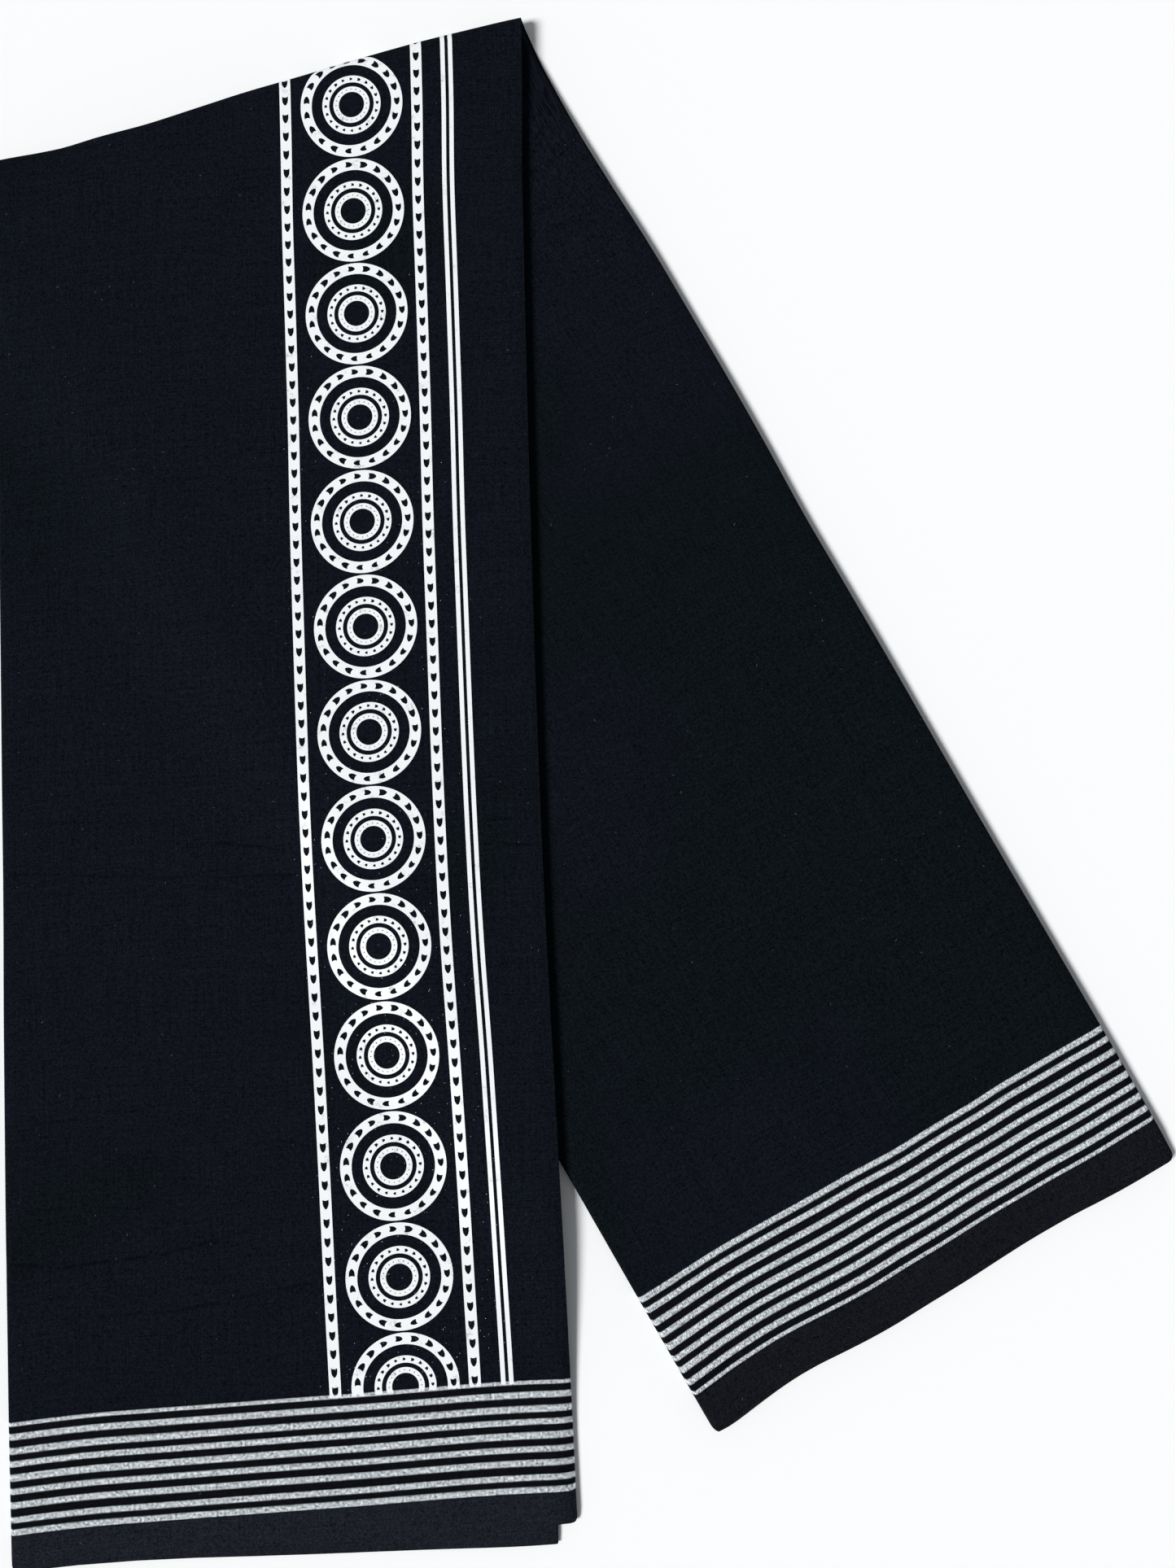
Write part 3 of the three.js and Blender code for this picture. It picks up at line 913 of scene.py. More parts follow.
# how far outside and inside its rim a stripe fades, as colour and as a raised rib, in metres
STRIPE_FADE, RIB_FADE = (0.0001, 0.0001), (0.0009, 0.0010)
TWILL_PATCHES, TWILL_DOTS = 260.0, (0.05, 0.65)
DYE_PATCHES, YARN_GRAIN = (0.42, 0.60), (0.25, 0.78)


def woven_border_group() -> bpy.types.NodeTree:
    """Build the group that draws the woven stripes of one border.

    Its Depth input runs across the border in metres. The pale yarn floats over pairs of
    threads, so each stripe's rims are toothed and its face is a broken twill of dark dots.

    Returns:
        The group, with the masks of the stripes, their raised ribs and their dots.
    """
    wire, inp, out = started(
        "woven_border", SHADER_TREE,
        [("Along", FLOAT, 0.0), ("Depth", FLOAT, 0.0), ("Float length", FLOAT, 0.00078),
         ("Tooth", FLOAT, 0.00022)],
        ["Stripe", "Rib", "Dots"],
    )
    turns = [wire.math("MULTIPLY", wire.math("DIVIDE", inp[k], inp["Float length"]), TAU)
             for k in ("Along", "Depth")]
    toothed = wire.math("MULTIPLY_ADD", wire.math("SINE", turns[0]), inp["Tooth"], inp["Depth"])
    for label, depth, (outside, inside) in (("Stripe", toothed, STRIPE_FADE),
                                            ("Rib", inp["Depth"], RIB_FADE)):
        total: Any = 0.0
        for start, end in BORDER_STRIPES:
            half = (end - start) / 2 * MM
            off = wire.math("ABSOLUTE", wire.math("SUBTRACT", depth, (start + end) / 2 * MM))
            total = wire.math("ADD", total, wire.soft(off, half + outside, half - inside))
        wire.feed(out.inputs[label], total)
    twill, crossed = (wire.math("SINE", wire.math(kind, *turns)) for kind in ("ADD", "SUBTRACT"))
    patch = wire.noise(wire.joined(inp["Along"], inp["Depth"]), TWILL_PATCHES, 2.0)
    mixed = wire.pick(patch, wire.math("MULTIPLY", twill, crossed), twill)
    wire.feed(out.inputs["Dots"], wire.soft(mixed, *TWILL_DOTS))
    return wire.tree


def crease_group() -> bpy.types.NodeTree:
    """Build the group that masks one thin pressed line between two points of the cloth.

    Returns:
        The group, with the line's mask.
    """
    wire, inp, out = started(
        "pressed_line", SHADER_TREE,
        [("Cloth", VECTOR, None), ("Start", VECTOR, None), ("End", VECTOR, None), ("Width", FLOAT, 0.0012)],
        ["Mark"],
    )
    rel, span = (wire.vector("SUBTRACT", inp[k], inp["Start"]).outputs[0] for k in ("Cloth", "End"))
    dots = [wire.vector("DOT_PRODUCT", k, span).outputs["Value"] for k in (rel, span)]
    reached = wire.vector("SCALE", span, Scale=wire.math("DIVIDE", *dots, clamp=True)).outputs[0]
    gap = wire.vector("DISTANCE", rel, reached).outputs["Value"]
    near = wire.math("SUBTRACT", 1.0, wire.math("DIVIDE", gap, inp["Width"]), clamp=True)
    wire.feed(out.inputs["Mark"], near)
    return wire.tree


def dye_drift_group() -> bpy.types.NodeTree:
    """Build the group that gives the dye's slow drift and the yarn's grain. Its Lean input tips the
    drift toward green-black, which the cotton uses as painted shade on the lower leg.

    Returns:
        The group, with the drift and the grain.
    """
    wire, inp, out = started(
        "dye_drift", SHADER_TREE,
        [("Place", VECTOR, None), ("Patches per metre", FLOAT, 5.0), ("Grains per metre", FLOAT, 620.0),
         ("Lean", FLOAT, 0.0)],
        ["Patch", "Grain"],
    )
    wide = wire.noise(inp["Place"], inp["Patches per metre"], 3.0)
    wire.feed(out.inputs["Patch"], wire.soft(wire.math("ADD", wide, inp["Lean"]), *DYE_PATCHES))
    fine = wire.noise(inp["Place"], inp["Grains per metre"], 3.0, 0.7)
    wire.feed(out.inputs["Grain"], wire.soft(fine, *YARN_GRAIN))
    return wire.tree


# --------------------------------------------------------------------------- finishes
@dataclass(frozen=True)
class CottonFinish:
    """Matt black cotton, its dye drifting from navy to green-black, with pale woven borders and painted
    shade.
    """

    name: str
    navy: Colour = (0.0053, 0.0063, 0.0106)
    green: Colour = (0.0039, 0.0060, 0.0078)
    front_hem: Colour = (0.0112, 0.0128, 0.0182)
    back_hem: Colour = (0.0073, 0.0080, 0.0108)
    # painted shade: the ground between the border's stripes is darker, standing in for the shade of the
    # raised ribs
    gap: Colour = (0.0038, 0.0045, 0.0062)
    pale: Colour = (0.63, 0.67, 0.70)
    yarn_shade: Colour = (0.03, 0.035, 0.045)
    front_border: float = 0.01365
    back_border: float = 1.270 - 0.0666
    border_depth: float = 0.04805
    middle: float = 0.6
    # where the cloth turns over, and how much greener the far half leans than the near one; the lean to
    # the darker green-black on the far half, the lower leg, is painted shade
    turn_zone: tuple[float, float] = (0.60, 0.72)
    lean: tuple[float, float] = (0.12, -0.06)
    gap_shade_rim: tuple[float, float] = (0.0005, -0.0001)
    hem_rim: tuple[float, float] = (0.0002, -0.0006)
    # painted light and shade of the thread relief, speckle, thread tone and grain, and what the tone starts
    # from
    ground_tone_and_shade: tuple[float, ...] = (0.40, 1.05, 2.10, 0.60, -1.06)
    stripe_tone: tuple[float, ...] = (0.0, 0.30, 0.75, 1.70, -0.36)
    stripe_grains: float = 900.0
    dot_cover: float = 0.92
    rib_height: float = 0.00055
    crease_sink: float = 0.00022
    # painted shade: how much the crease lines darken the cloth's colour
    crease_shade: float = -0.55
    crease_patches: tuple[float, float, float] = (110.0, 0.30, 0.55)
    weave_bump: tuple[float, float] = (0.5, 0.00006)
    roughness: float = 0.93
    specular: float = 0.02

    def build(self, groups: Groups) -> bpy.types.Material:
        """Build the material, which reads the piece's own cloth coordinates.

        Args:
            groups: The shared effects by name.

        Returns:
            The material.
        """
        mat, wire = new_material(self.name)
        cloth = wire.node("ShaderNodeUVMap", {"uv_map": "cloth"}).outputs[0]
        x, y, _ = wire.split(cloth)
        yarn = wire.group(groups["weave"], Cloth=cloth)
        # painted shade: the lower leg is leaned toward the darker green-black, on top of the dye's random
        # drift
        turned = wire.soft(y, *self.turn_zone)
        dye = wire.group(groups["dye"], Place=cloth, Lean=wire.math("MULTIPLY_ADD", turned, *self.lean))
        second = wire.math("GREATER_THAN", y, self.middle)
        near, past = (wire.math("SUBTRACT", y, k) for k in (self.front_border, self.back_border))
        border = wire.group(groups["border"], Along=x, Depth=wire.pick(second, near, past))
        inward = wire.pick(second, near, wire.math("SUBTRACT", self.border_depth, past))
        marks = self._creases(wire, groups["crease"], cloth)
        ground = wire.blend(dye["Patch"], self.navy, self.green)
        # painted shade: within the border the ground between the stripes takes the darker gap colour
        in_border = wire.soft(inward, *(self.border_depth + rim for rim in self.gap_shade_rim))
        ground = wire.blend(in_border, ground, self.gap)
        hem = wire.blend(second, self.front_hem, self.back_hem)
        ground = wire.blend(wire.soft(inward, *self.hem_rim), ground, hem)
        # painted light and shade: the thread crowns are lightened and the hollows darkened through the
        # ground's tone
        ground = self._shaded(wire, ground, self._tone(wire, self.ground_tone_and_shade, yarn, dye))
        # painted shade: the colour is darkened along the crease lines
        ground = self._shaded(wire, ground, wire.math("MULTIPLY_ADD", marks, self.crease_shade, 1.0))
        fine = wire.group(groups["dye"], Place=cloth, Grains_per_metre=self.stripe_grains)
        stripe = self._shaded(wire, self.pale, self._tone(wire, self.stripe_tone, yarn, fine))
        stripe = wire.blend(wire.math("MULTIPLY", border["Dots"], self.dot_cover), stripe, self.yarn_shade)
        colour = wire.blend(wire.math("MINIMUM", border["Stripe"], 1.0), ground, stripe)
        relief = wire.math("SUBTRACT", wire.math("MULTIPLY", border["Rib"], self.rib_height),
                           wire.math("MULTIPLY", marks, self.crease_sink))
        ribbed = wire.node("ShaderNodeBump", Strength=1.0, Distance=1.0, Height=relief)
        strength, distance = self.weave_bump
        woven = wire.node("ShaderNodeBump", Strength=strength, Distance=distance,
                          Height=yarn["Relief"], Normal=ribbed.outputs[0])
        surfaced(wire, Base_Color=colour, Normal=woven.outputs[0], Roughness=self.roughness,
                 Specular_IOR_Level=self.specular)
        return mat

    def _creases(self, wire: Wiring, group: bpy.types.NodeTree, cloth: Socket) -> Socket:
        """Draw the mask of the pressed crease lines, broken up in small patches, for the bump and the painted
        shade.

        Args:
            wire: The material's wiring.
            group: The group that draws one line.
            cloth: The cloth coordinates.

        Returns:
            Their mask.
        """
        marks: Any = 0.0
        for crease in CREASES:
            ends = [(x * MM, y * MM, 0.0) for x, y in (crease.start, crease.end)]
            line = wire.group(group, Cloth=cloth, Start=ends[0], End=ends[1])["Mark"]
            marks = wire.math("MAXIMUM", marks, wire.math("MULTIPLY", line, crease.mark))
        scale, start, end = self.crease_patches
        return wire.math("MULTIPLY", marks, wire.soft(wire.noise(cloth, scale, 2.0), start, end))

    def _shaded(self, wire: Wiring, colour: Any, tone: Any) -> Socket:
        """Return a colour made lighter or darker by a tone around one."""
        return wire.vector("SCALE", colour, Scale=tone).outputs[0]

    def _tone(self, wire: Wiring, shares: Sequence[float], yarn: Inputs, dye: Inputs) -> Socket:
        """Mix the threads' painted light and shade from their relief with their speckle, yarn tone and grain.

        Args:
            wire: The material's wiring.
            shares: How much each part counts, and what the tone starts from.
            yarn: Outputs of the weave group.
            dye: Outputs of the dye group.

        Returns:
            A tone around one.
        """
        tone: Any = shares[-1]
        for share, part in zip(shares, (yarn["Relief"], yarn["Speckle"], yarn["Tone"], dye["Grain"])):
            tone = wire.math("MULTIPLY_ADD", part, share, tone) if share else tone
        return tone


@dataclass(frozen=True)
class PrintFinish:
    """Opaque off-white pigment, slightly mottled and cracked by the weave under it."""

    name: str = "pale_pigment"
    body: Colour = (0.86, 0.88, 0.89)
    thin: Colour = (0.50, 0.52, 0.54)
    # scale, detail, and where the wear starts and is full, for its patches and its grain
    patches: tuple[float, ...] = (150.0, 3.0, 0.56, 0.74)
    grain: tuple[float, ...] = (900.0, 2.0, 0.42, 0.62)
    weave_bump: tuple[float, float] = (0.2, 0.00008)
    roughness: float = 0.7
    specular: float = 0.3

    def build(self, groups: Groups) -> bpy.types.Material:
        """Build the material, which reads the piece's own cloth coordinates.

        Args:
            groups: The shared effects by name.

        Returns:
            The material.
        """
        mat, wire = new_material(self.name)
        cloth = wire.node("ShaderNodeUVMap", {"uv_map": "cloth"}).outputs[0]
        yarn = wire.group(groups["weave"], Cloth=cloth)
        worn = [wire.soft(wire.noise(cloth, scale, detail), start, end)
                for scale, detail, start, end in (self.patches, self.grain)]
        strength, distance = self.weave_bump
        bump = wire.node("ShaderNodeBump", Strength=strength, Distance=distance, Height=yarn["Relief"])
        surfaced(wire, Base_Color=wire.blend(wire.math("MULTIPLY", *worn), self.body, self.thin),
                 Normal=bump.outputs[0], Roughness=self.roughness, Specular_IOR_Level=self.specular)
        return mat


@dataclass(frozen=True)
class FluffFinish:
    """Pale fluff, each fibre a little lighter or darker along it."""

    name: str = "pale_fluff"
    colour: Colour = (0.16, 0.175, 0.21)
    dim: Colour = (0.056, 0.06125, 0.0735)
    patches: tuple[float, ...] = (90.0, 1.0, 0.35, 0.65)
    roughness: float = 0.95
    specular: float = 0.1

    def build(self) -> bpy.types.Material:
        """Build the material.

        Returns:
            The material.
        """
        mat, wire = new_material(self.name)
        scale, detail, start, end = self.patches
        place = wire.node("ShaderNodeTexCoord").outputs["Object"]
        light = wire.soft(wire.noise(place, scale, detail), start, end)
        surfaced(wire, Base_Color=wire.blend(light, self.dim, self.colour), Roughness=self.roughness,
                 Specular_IOR_Level=self.specular)
        return mat


# --------------------------------------------------------------------------- the cloth
@dataclass
class OuterCloth:
    """The outermost layers: the printed one, the closed edge and the bottom one.

    The bottom layer turns in at the open edge, round the two layers above it.
    """

    strip: FoldedStrip
    rims: tuple[float, ...] = (3.2, 1.5, 0.6)
    edge_steps: int = 12
    tuck_steps: int = 8
    tuck: tuple[float, ...] = (0.0, 4.0, 10.0, 20.0, 30.0)

    def section(self, row: Row) -> Section:
        """Return the layers of one row, from the printed layer's open edge to the tuck.

        Args:
            row: The line across the strip.

        Returns:
            Points as c and n.
        """
        strip, half = self.strip, self.strip.half
        top, radius = half - strip.pitch / 2, 1.5 * strip.pitch
        reach = strip.open_edge(row, True) - radius
        columns = spaced(half, strip.width, strip.step, self.rims)
        upper, lower = ([half + (x - half) / (strip.width - half) * (end - half) for x in columns]
                        for end in (strip.open_edge(row, False), reach))
        run = [(c, top) for c in reversed(upper)] + half_turn(half, 0.0, -top, self.edge_steps)
        run += [(c, -top) for c in lower]
        run += reversed(half_turn(reach, radius - top, radius, self.tuck_steps))
        return run + [(reach - back, 2 * radius - top) for back in self.tuck]

    def build(self, material: bpy.types.Material) -> bpy.types.Object:
        """Return the finished piece."""
        grid = self.strip.grid(self.strip.rows(), self.section)
        return cloth_piece("lungi_cloth", [grid], material, self.strip.wall)


@dataclass
class InnerFolds:
    """The six layers inside, shown where they reach the open edge and the hems.

    Layers are counted from 1 at the top of the upper leg.
    """

    strip: FoldedStrip
    rim: tuple[float, ...] = (0.0, 0.8, 3.0, 8.0, 16.0, 30.0)
    edge_insets: tuple[float, float, float] = (0.8, 0.5, 0.55)
    bend_steps: int = 6
    hem_columns: int = 8
    hem_margin: float = 36.0
    hem_zone: float = 0.955
    cloth_start: float = 600.0

    def level(self, layer: int) -> float:
        """Return the height of a layer in the stack."""
        return self.strip.half - self.strip.pitch * (layer - 0.5)

    def _run(self, layer: int, edge: float) -> Section:
        """Return a layer's strip along the open edge, from the edge inward."""
        return [(edge - x, self.level(layer)) for x in self.rim]

    def _pair(self, upper: int, lower: int, edge: float) -> Section:
        """Return two layers joined by a bend at the open edge.

        Args:
            upper: The upper layer.
            lower: The lower layer.
            edge: Where the bend reaches.

        Returns:
            Points as c and n.
        """
        radius = (self.level(upper) - self.level(lower)) / 2
        bend = half_turn(edge - radius, self.level(upper) - radius, radius, self.bend_steps)
        return self._run(upper, edge - radius)[::-1] + bend + self._run(lower, edge - radius)

    def edges(self, row: Row) -> list[Section]:
        """Return the sections shown all along the open edge.

        Args:
            row: The line across the strip.

        Returns:
            The second layer, the third joined to the fourth, and the sixth to the seventh.
        """
        wide, narrow = self.strip.open_edge(row, False), self.strip.open_edge(row, True)
        second, third, sixth = self.edge_insets
        return [self._run(2, wide - second), self._pair(3, 4, wide - third), self._pair(6, 7, narrow - sixth)]

    def hems(self, row: Row) -> list[Section]:
        """Return the sections shown at the hems, joined in pairs round the closed edge.

        Args:
            row: The line across the strip, where every pair has the same section.

        Returns:
            One section for each pair of layers.
        """
        start, end = self.strip.half, self.strip.width - self.hem_margin
        flat = [start + (end - start) * k / self.hem_columns for k in range(self.hem_columns + 1)]
        out = []
        for upper in (2, 3, 4):
            run = [(c, self.level(upper)) for c in reversed(flat)]
            run += half_turn(start, 0.0, -self.level(upper), self.bend_steps)
            out.append(run + [(c, self.level(9 - upper)) for c in flat])
        return out

    def build(self, material: bpy.types.Material) -> bpy.types.Object:
        """Build the piece.

        Args:
            material: Its finish.

        Returns:
            The finished piece.
        """
        rows = self.strip.rows()
        places = [(rows, self.edges)] + [
            ([r for r in rows if r.stretch is leg and r.at > self.hem_zone], self.hems)
            for leg in (Stretch.UPPER, Stretch.LOWER)
        ]
        grids = [self.strip.grid(some, lambda row, k=k, pick=pick: pick(row)[k], self.cloth_start)
                 for some, pick in places for k in range(3)]
        return cloth_piece("inner_folds", grids, material, self.strip.wall)


# --------------------------------------------------------------------------- the print
@dataclass(frozen=True)
class Ring:
    """One ring of a medallion: its radii, its circles' points, and its tooth marks."""

    outer: float
    inner: float
    points: tuple[int, int]
    marks: int
    mark_size: tuple[float, float]


@dataclass
class PrintBand:
    """Two toothed rails, a row of medallions and a double line, printed on the cloth.

    The tree draws the band flat, x across it and y along it. The flat mesh is then laid
    on the printed layer, over the oblique fold and on underneath.
    """

    strip: FoldedStrip
    pitch: float = 47.9
    first: float = 62.9
    count: int = 25
    seed: int = 7
    lift: float = 0.06
    film: float = 0.04
    rings: tuple[Ring, ...] = (
        Ring(23.53, 18.42, (72, 56), 19, (1.32, 1.7)),
        Ring(13.48, 10.32, (48, 36), 20, (0.66, 0.74)),
        Ring(8.38, 5.87, (48, 36), 20, (0.26, 0.26)),
    )
    mark_turn: float = 0.16
    mark_growth: tuple[float, float] = (0.86, 1.12)
    rail_width: float = 5.1
    rail_right: float = 32.7
    rail_left: float = 33.15
    rail_mark: tuple[float, float, float] = (1.4, 2.05, 1.0)
    tooth_pitch: float = 8.15
    line_inner: float = 41.45
    line_width: float = 1.97
    line_gap: float = 1.52
    line_points: int = 300
    spatter: float = 0.05
    spatter_side: float = 41.0
    spatter_shift: float = 4.0
    spatter_reach: float = 560.0
    spatter_fade: float = 0.5
    fleck_points: int = 7
    fleck_radius: float = 0.12
    fleck_sizes: tuple[tuple[float, ...], tuple[float, ...]] = ((0.25, 0.25, 1.0), (1.1, 1.5, 1.0))
    inner_limit: float = 60.3
    weld: float = 0.01
    fold_zone: tuple[float, float] = (625.0, 690.0)
    fold_edge: float = 0.9
    long_edge: float = 9.0
    cuts: int = 4
    centre_line: Table = (
        (0, 71.0), (63, 71.6), (110, 72.35), (158, 72.8), (206, 73.45), (254, 74.7), (301, 75.45),
        (349, 75.9), (397, 76.3), (444, 76.7), (492, 76.75), (540, 77.2), (588, 77.9),
        (638, 78.4), (1270, 78.7),
    )
    drift: Table = (
        (0, 0), (62.9, 0), (110.8, -1.3), (158.7, -1.2), (206.6, -0.9), (254.5, -0.75),
        (302.4, -1.4), (350.3, -1.7), (398.2, -2.4), (446.1, -2.75), (494.0, -3.1),
        (541.9, -3.2), (589.8, -3.5), (637.7, -1.55), (700, -1.5), (1270, -1.5),
    )
    tooth: Table = (
        (-0.95, 1.0), (-0.48, 0.84), (0.0, 0.78), (0.48, 0.84), (0.95, 1.0), (0.98, 0.2),
        (0.82, -0.35), (0.42, -0.85), (0.0, -1.05), (-0.42, -0.85), (-0.82, -0.35), (-0.98, 0.2),
    )

    def _tooth_outline(self) -> bpy.types.Object:
        """Make a helper outline of one tooth mark.

        Returns:
            The outline, two units across.
        """
        mesh, count = bpy.data.meshes.new("tooth_outline"), len(self.tooth)
        mesh.from_pydata([(x, y, 0) for x, y in self.tooth], [(i, (i + 1) % count) for i in range(count)], [])
        return added("tooth_outline", mesh)

    def _ring(self, wire: Wiring, outline: Socket, ring: Ring, seed: Socket) -> list[Socket]:
        """Draw one ring's two circles and its tooth marks, which point along it.

        Args:
            wire: The tree.
            outline: Curve of one tooth mark.
            ring: The ring.
            seed: Seed of the marks' small unevenness.

        Returns:
            The curves.
        """
        radii = (ring.outer, ring.inner)
        circles = [wire.geo("CurvePrimitiveCircle", Resolution=points, Radius=radius)
                   for radius, points in zip(radii, ring.points)]
        spots = wire.geo("MeshCircle", Vertices=ring.marks, Radius=sum(radii) / 2)
        xyz = wire.split(wire.geo("InputPosition"))
        wobble = wire.vary(-self.mark_turn, self.mark_turn, seed)
        angle = wire.math("ADD", wire.math("ARCTAN2", xyz[1], xyz[0]), wobble)
        grow = wire.vary(*self.mark_growth, seed, 3.0)
        scale = wire.joined(*(wire.math("MULTIPLY", grow, k) for k in ring.mark_size), 1.0)
        facing = wire.node("FunctionNodeEulerToRotation", Euler=wire.joined(z=angle)).outputs[0]
        return circles + [wire.geo("InstanceOnPoints", Points=spots, Instance=outline, Rotation=facing,
                                   Scale=scale)]

    def _whole(self, wire: Wiring, parts: Sequence[Socket]) -> Socket:
        """Join several geometries, with instances made real.

        Args:
            wire: The tree.
            parts: What is joined.

        Returns:
            The one geometry.
        """
        join = wire.node("GeometryNodeJoinGeometry")
        for part in parts:
            wire.tree.links.new(part, join.inputs[0])
        return wire.geo("RealizeInstances", Geometry=join.outputs[0])

    def _rail(self, wire: Wiring, outline: Socket, inp: Inputs, x: float) -> Socket:
        """Draw one toothed rail.

        Args:
            wire: The tree.
            outline: Curve of one tooth mark.
            inp: The tree's inputs.
            x: Where the rail's middle lies.

        Returns:
            The rail as instances of one tooth's cell.
        """
        frame = wire.geo("CurvePrimitiveQuadrilateral", Width=inp["Rail width"], Height=inp["Tooth pitch"])
        mark = wire.geo("Transform", Geometry=outline, Scale=self.rail_mark)
        cell = wire.geo("FillCurve", Curve=self._whole(wire, [frame, mark]))
        spots = wire.geo("MeshLine", Count=round(self.strip.cloth_width / self.tooth_pitch),
                         Start_Location=(x, self.first % self.tooth_pitch, 0),
                         Offset=wire.joined(y=inp["Tooth pitch"]))
        return wire.geo("InstanceOnPoints", Points=spots, Instance=cell)

    def _flecks(self, wire: Wiring, inp: Inputs) -> Socket:
        """Scatter stray flecks of pigment round the band, more of them toward the upper hem.

        Args:
            wire: The tree.
            inp: The tree's inputs.

        Returns:
            The flecks as instances.
        """
        length, seed = self.spatter_reach, inp["Seed"]
        patch = wire.geo("MeshGrid", Size_X=2 * self.spatter_side, Size_Y=length, Vertices_X=2, Vertices_Y=2)
        moved = wire.geo("Transform", Geometry=patch,
                         Translation=(self.spatter_shift, length / 2 + self.inner_limit, 0))
        spots = wire.geo("DistributePointsOnFaces", Mesh=moved, Density=inp["Spatter"], Seed=seed)
        height = wire.split(wire.geo("InputPosition"))[1]
        thin = wire.math("POWER", wire.math("DIVIDE", height, length), self.spatter_fade)
        dropped = wire.geo("DeleteGeometry", Geometry=spots,
                           Selection=wire.math("LESS_THAN", wire.vary(0.0, 1.0, seed), thin))
        circle = wire.geo("CurvePrimitiveCircle", Resolution=self.fleck_points, Radius=self.fleck_radius)
        fleck = wire.geo("FillCurve", Curve=circle)
        size = wire.node("FunctionNodeRandomValue", {"data_type": "FLOAT_VECTOR"}, i0=self.fleck_sizes[0],
                         i1=self.fleck_sizes[1], Seed=wire.math("ADD", seed, 5.0))
        return wire.geo("InstanceOnPoints", Points=dropped, Instance=fleck, Scale=size.outputs[0])

    def _tree(self) -> bpy.types.NodeTree:
        """Build the tree that draws the whole band flat.

        Returns:
            The tree.
        """
        wire, inp, out = started(
            "print_band", "GeometryNodeTree",
            [("Tooth", OBJECT, None), ("Pitch", FLOAT, self.pitch), ("Medallions", WHOLE, self.count),
             ("Tooth pitch", FLOAT, self.tooth_pitch), ("Rail width", FLOAT, self.rail_width),
             ("Seed", WHOLE, self.seed), ("Spatter", FLOAT, self.spatter), ("Pigment", MATERIAL, None)],
            ["Geometry"],
        )
        helper = wire.node("GeometryNodeObjectInfo", Object=inp["Tooth"]).outputs["Geometry"]
        outline = wire.geo("MeshToCurve", Mesh=helper)
        loops = [loop for ring in self.rings for loop in self._ring(wire, outline, ring, inp["Seed"])]
        medallion = wire.geo("FillCurve", Curve=self._whole(wire, loops))
        spots = wire.geo("MeshLine", Count=inp["Medallions"], Start_Location=(0, self.first, 0),
                         Offset=wire.joined(y=inp["Pitch"]))
        parts = [wire.geo("InstanceOnPoints", Points=spots, Instance=medallion)]
        for x in (self.rail_right - self.rail_width / 2, self.rail_width / 2 - self.rail_left):
            parts.append(self._rail(wire, outline, inp, x))
        length = self.strip.cloth_width
        for x in (self.line_inner, self.line_inner + self.line_width + self.line_gap):
            line = wire.geo("MeshGrid", Size_X=self.line_width, Size_Y=length, Vertices_X=2,
                            Vertices_Y=self.line_points)
            parts.append(wire.geo("Transform", Geometry=line,
                                  Translation=(x + self.line_width / 2, length / 2, 0)))
        parts.append(self._flecks(wire, inp))
        welded = wire.geo("MergeByDistance", Geometry=self._whole(wire, parts), Distance=self.weld)
        wire.feed(out.inputs[0], wire.geo("SetMaterial", Geometry=welded, Material=inp["Pigment"]))
        return wire.tree

    def _cut(self, mesh: bpy.types.Mesh) -> None:
        """Trim the flat band to the plain part of the cloth, and make it fine enough to bend.

        Args:
            mesh: The flat band.
        """
        bm = bmesh.new()
        bm.from_mesh(mesh)
        limit = self.strip.cloth_width - self.strip.border_edge - self.strip.border_depth
        for y, outward in ((self.inner_limit, False), (limit, True)):
            geom = bm.verts[:] + bm.edges[:] + bm.faces[:]
            bmesh.ops.bisect_plane(bm, geom=geom, dist=1e-4, plane_co=(0, y, 0), plane_no=(0, 1, 0),
                                   clear_outer=outward, clear_inner=not outward)
        bmesh.ops.triangulate(bm, faces=bm.faces[:])
        low, high = self.fold_zone
        for _ in range(self.cuts):
            coarse = [
                e for e in bm.edges if e.calc_length() > self.long_edge or e.calc_length() > self.fold_edge
                and low < (e.verts[0].co.y + e.verts[1].co.y) / 2 < high
            ]
            bmesh.ops.subdivide_edges(bm, edges=coarse, cuts=1)
            bmesh.ops.triangulate(bm, faces=bm.faces[:])
        bm.to_mesh(mesh)
        bm.free()

    def _lay(self, mesh: bpy.types.Mesh) -> None:
        """Move the flat band's points onto the cloth and give it cloth coordinates.

        Args:
            mesh: The flat band.
        """
        flat = np.empty(len(mesh.vertices) * 3)
        mesh.vertices.foreach_get("co", flat)
        x, y, _ = flat.reshape(-1, 3).T
        v = y + along(self.drift, y)
        u = along(self.centre_line, v) - x
        level = self.strip.half - self.strip.pitch / 2 + self.strip.wall / 2 + self.lift
        placed = self.strip.on_outer_layer(u, v, level) * MM
        mesh.vertices.foreach_set("co", placed.ravel())
        set_cloth_coordinates(mesh, np.column_stack([u, v]))
        mesh.update()

    def build(self, material: bpy.types.Material) -> bpy.types.Object:
        """Build the band and lay it on the printed layer.

        Args:
            material: Its finish.

        Returns:
            The finished piece.
        """
        helper = self._tooth_outline()
        values = {"Tooth": helper, "Pigment": material}
        band = grown("print_band", bpy.data.meshes.new("print_host"), self._tree(), values)
        bpy.data.objects.remove(helper)
        self._cut(band.data)
        self._lay(band.data)
        return walled(band, self.film, 1.0, FILM_SHARP)


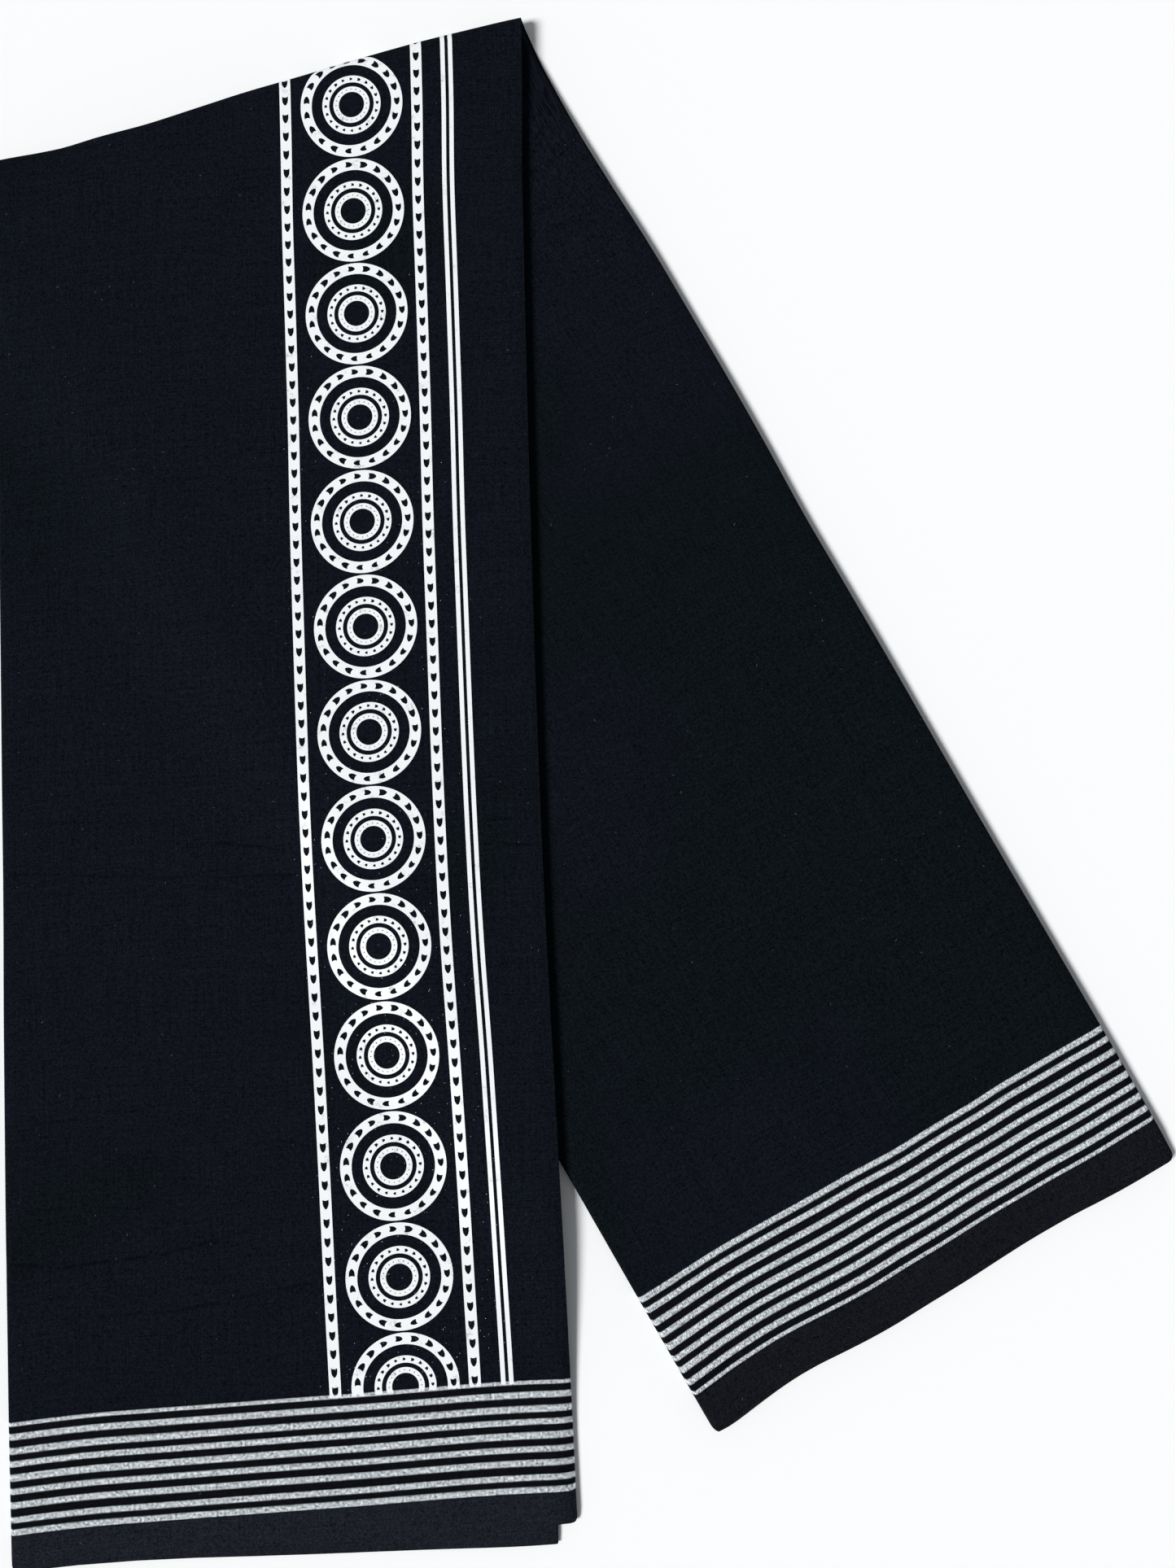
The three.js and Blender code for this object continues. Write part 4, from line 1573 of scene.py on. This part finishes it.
# --------------------------------------------------------------------------- the lint
@dataclass
class Lint:
    """Specks of pale fluff caught on the upper face of the cloth."""

    per_square_metre: float = 1700.0
    seed: int = 11
    length: float = 0.00085
    radius: float = 0.00007
    facing_up: float = 0.6
    sizes: tuple[float, float] = (0.35, 1.25)
    points: int = 5
    # the bent fibre's end points and handles, in half lengths
    bend: tuple[tuple[str, float, float], ...] = (
        ("Start", -1.0, 0.0), ("Start Handle", -0.6, 0.7), ("End Handle", 0.2, -0.5), ("End", 1.0, 0.3),
    )

    def _tree(self) -> bpy.types.NodeTree:
        """Build the tree that scatters bent fibres over a cloth's upper faces.

        Returns:
            The tree.
        """
        wire, inp, out = started(
            "lint", "GeometryNodeTree",
            [("Geometry", GEOMETRY, None), ("Density", FLOAT, self.per_square_metre),
             ("Seed", WHOLE, self.seed), ("Length", FLOAT, self.length), ("Radius", FLOAT, self.radius),
             ("Fluff", MATERIAL, None)],
            ["Geometry"],
        )
        upward = wire.math("GREATER_THAN", wire.split(wire.geo("InputNormal"))[2], self.facing_up)
        spots = wire.node("GeometryNodeDistributePointsOnFaces", Mesh=inp["Geometry"], Selection=upward,
                          Density=inp["Density"], Seed=inp["Seed"]).outputs
        half = wire.math("MULTIPLY", inp["Length"], 0.5)
        ends = {name.replace(" ", "_"): wire.joined(*(wire.math("MULTIPLY", half, k) for k in place))
                for name, *place in self.bend}
        arc = wire.geo("CurvePrimitiveBezierSegment", Resolution=self.points, **ends)
        ring = wire.geo("CurvePrimitiveCircle", Resolution=self.points, Radius=inp["Radius"])
        fibre = wire.geo("CurveToMesh", Curve=arc, Profile_Curve=ring, Fill_Caps=True)
        spin = wire.node("FunctionNodeEulerToRotation",
                         Euler=wire.joined(z=wire.vary(0.0, TAU, inp["Seed"]))).outputs[0]
        turned = wire.node("FunctionNodeRotateRotation", {"rotation_space": "LOCAL"},
                           Rotation=spots["Rotation"], Rotate_By=spin).outputs[0]
        laid = wire.geo("InstanceOnPoints", Points=spots["Points"], Instance=fibre, Rotation=turned,
                        Scale=wire.vary(*self.sizes, inp["Seed"], 1.0))
        real = wire.geo("RealizeInstances", Geometry=laid)
        wire.feed(out.inputs[0], wire.geo("SetMaterial", Geometry=real, Material=inp["Fluff"]))
        return wire.tree

    def build(self, cloth: bpy.types.Object, material: bpy.types.Material) -> bpy.types.Object:
        """Return the specks, grown over the cloth that they lie on."""
        return grown("lint_specks", cloth.data.copy(), self._tree(), {"Fluff": material})


# --------------------------------------------------------------------------- the studio
@dataclass
class Studio:
    """Pale floor, soft light from the lower left, and a camera looking almost straight down."""

    centring: tuple[float, float]
    sensor: float = 36.0
    focal: float = 1900.0 / 1927.0 * 36.0
    clip_start: float = 0.01
    distance: float = 0.6934
    tilt: float = math.radians(3.8046)
    floor_colour: Colour = (0.93, 0.93, 0.93)
    floor_roughness: float = 0.95
    floor_specular: float = 0.05
    floor_reach: float = 60.0
    key_from: tuple[float, float, float] = (-2.5, -1.1, 2.75)
    key_strength: float = 3.65
    key_spread: float = math.radians(21)
    wall_light: Colour = (0.88, 0.89, 0.90)
    sky_light: Colour = (0.19, 0.20, 0.21)
    horizon: tuple[float, float] = (0.05, 0.32)

    def build(self) -> None:
        """Add the camera, the floor and the lights."""
        self._camera()
        self._floor()
        self._lights()

    def _camera(self) -> None:
        """Place the camera and make it the scene's own."""
        data = bpy.data.cameras.new("camera")
        data.sensor_fit = "VERTICAL"
        data.sensor_height = self.sensor
        data.lens = self.focal
        data.clip_start = self.clip_start
        cam = added("camera", data)
        x, y = (s * MM for s in self.centring)
        cam.location = (x, y - self.distance * math.sin(self.tilt), self.distance * math.cos(self.tilt))
        cam.rotation_euler = (self.tilt, 0.0, 0.0)
        bpy.context.scene.camera = cam
        bpy.context.scene.view_settings.view_transform = "Standard"

    def _floor(self) -> None:
        """Lay the floor under the cloth."""
        mesh, r = bpy.data.meshes.new("floor"), self.floor_reach
        mesh.from_pydata([(-r, -r, 0), (r, -r, 0), (r, r, 0), (-r, r, 0)], [], [(0, 1, 2, 3)])
        mat, wire = new_material("pale_floor")
        surfaced(wire, Base_Color=(*self.floor_colour, 1), Roughness=self.floor_roughness,
                 Specular_IOR_Level=self.floor_specular)
        mesh.materials.append(mat)
        added("floor", mesh)

    def _lights(self) -> None:
        """Add the broad key light from the lower left and the even fill all round."""
        data = bpy.data.lights.new("key", "SUN")
        data.energy = self.key_strength
        data.angle = self.key_spread
        lamp = added("key", data)
        lamp.location = self.key_from
        lamp.rotation_euler = (-Vector(self.key_from)).to_track_quat("-Z", "Y").to_euler()
        world = bpy.data.worlds.new("studio")
        world.use_nodes = True
        world.node_tree.nodes.clear()
        wire = Wiring(world.node_tree)
        height = wire.split(wire.node("ShaderNodeTexCoord").outputs["Generated"])[2]
        shade = wire.blend(wire.soft(height, *self.horizon), self.wall_light, self.sky_light)
        backdrop = wire.node("ShaderNodeBackground", Color=shade, Strength=1.0)
        wire.node("ShaderNodeOutputWorld", Surface=backdrop.outputs[0])
        bpy.context.scene.world = world


def main() -> None:
    """Build the dressed model in order."""
    logging.basicConfig(level=logging.INFO, format="%(message)s")
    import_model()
    strip = FoldedStrip()
    Studio(strip.centring).build()
    groups = {
        "weave": plain_weave_group(), "border": woven_border_group(), "dye": dye_drift_group(),
        "crease": crease_group(),
    }
    cotton = CottonFinish("black_cotton").build(groups)
    cloth = OuterCloth(strip).build(cotton)
    folds = InnerFolds(strip).build(cotton)
    band = PrintBand(strip).build(PrintFinish().build(groups))
    lint = Lint().build(cloth, FluffFinish().build())

    for piece in (cloth, folds, band, lint):
        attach(piece, "root")
    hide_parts("front_printed_layer", "front_under_layer", "back_face_layer", "back_under_layer")
    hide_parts("front_hidden_layers", "back_hidden_layers")


if __name__ == "__main__":
    main()
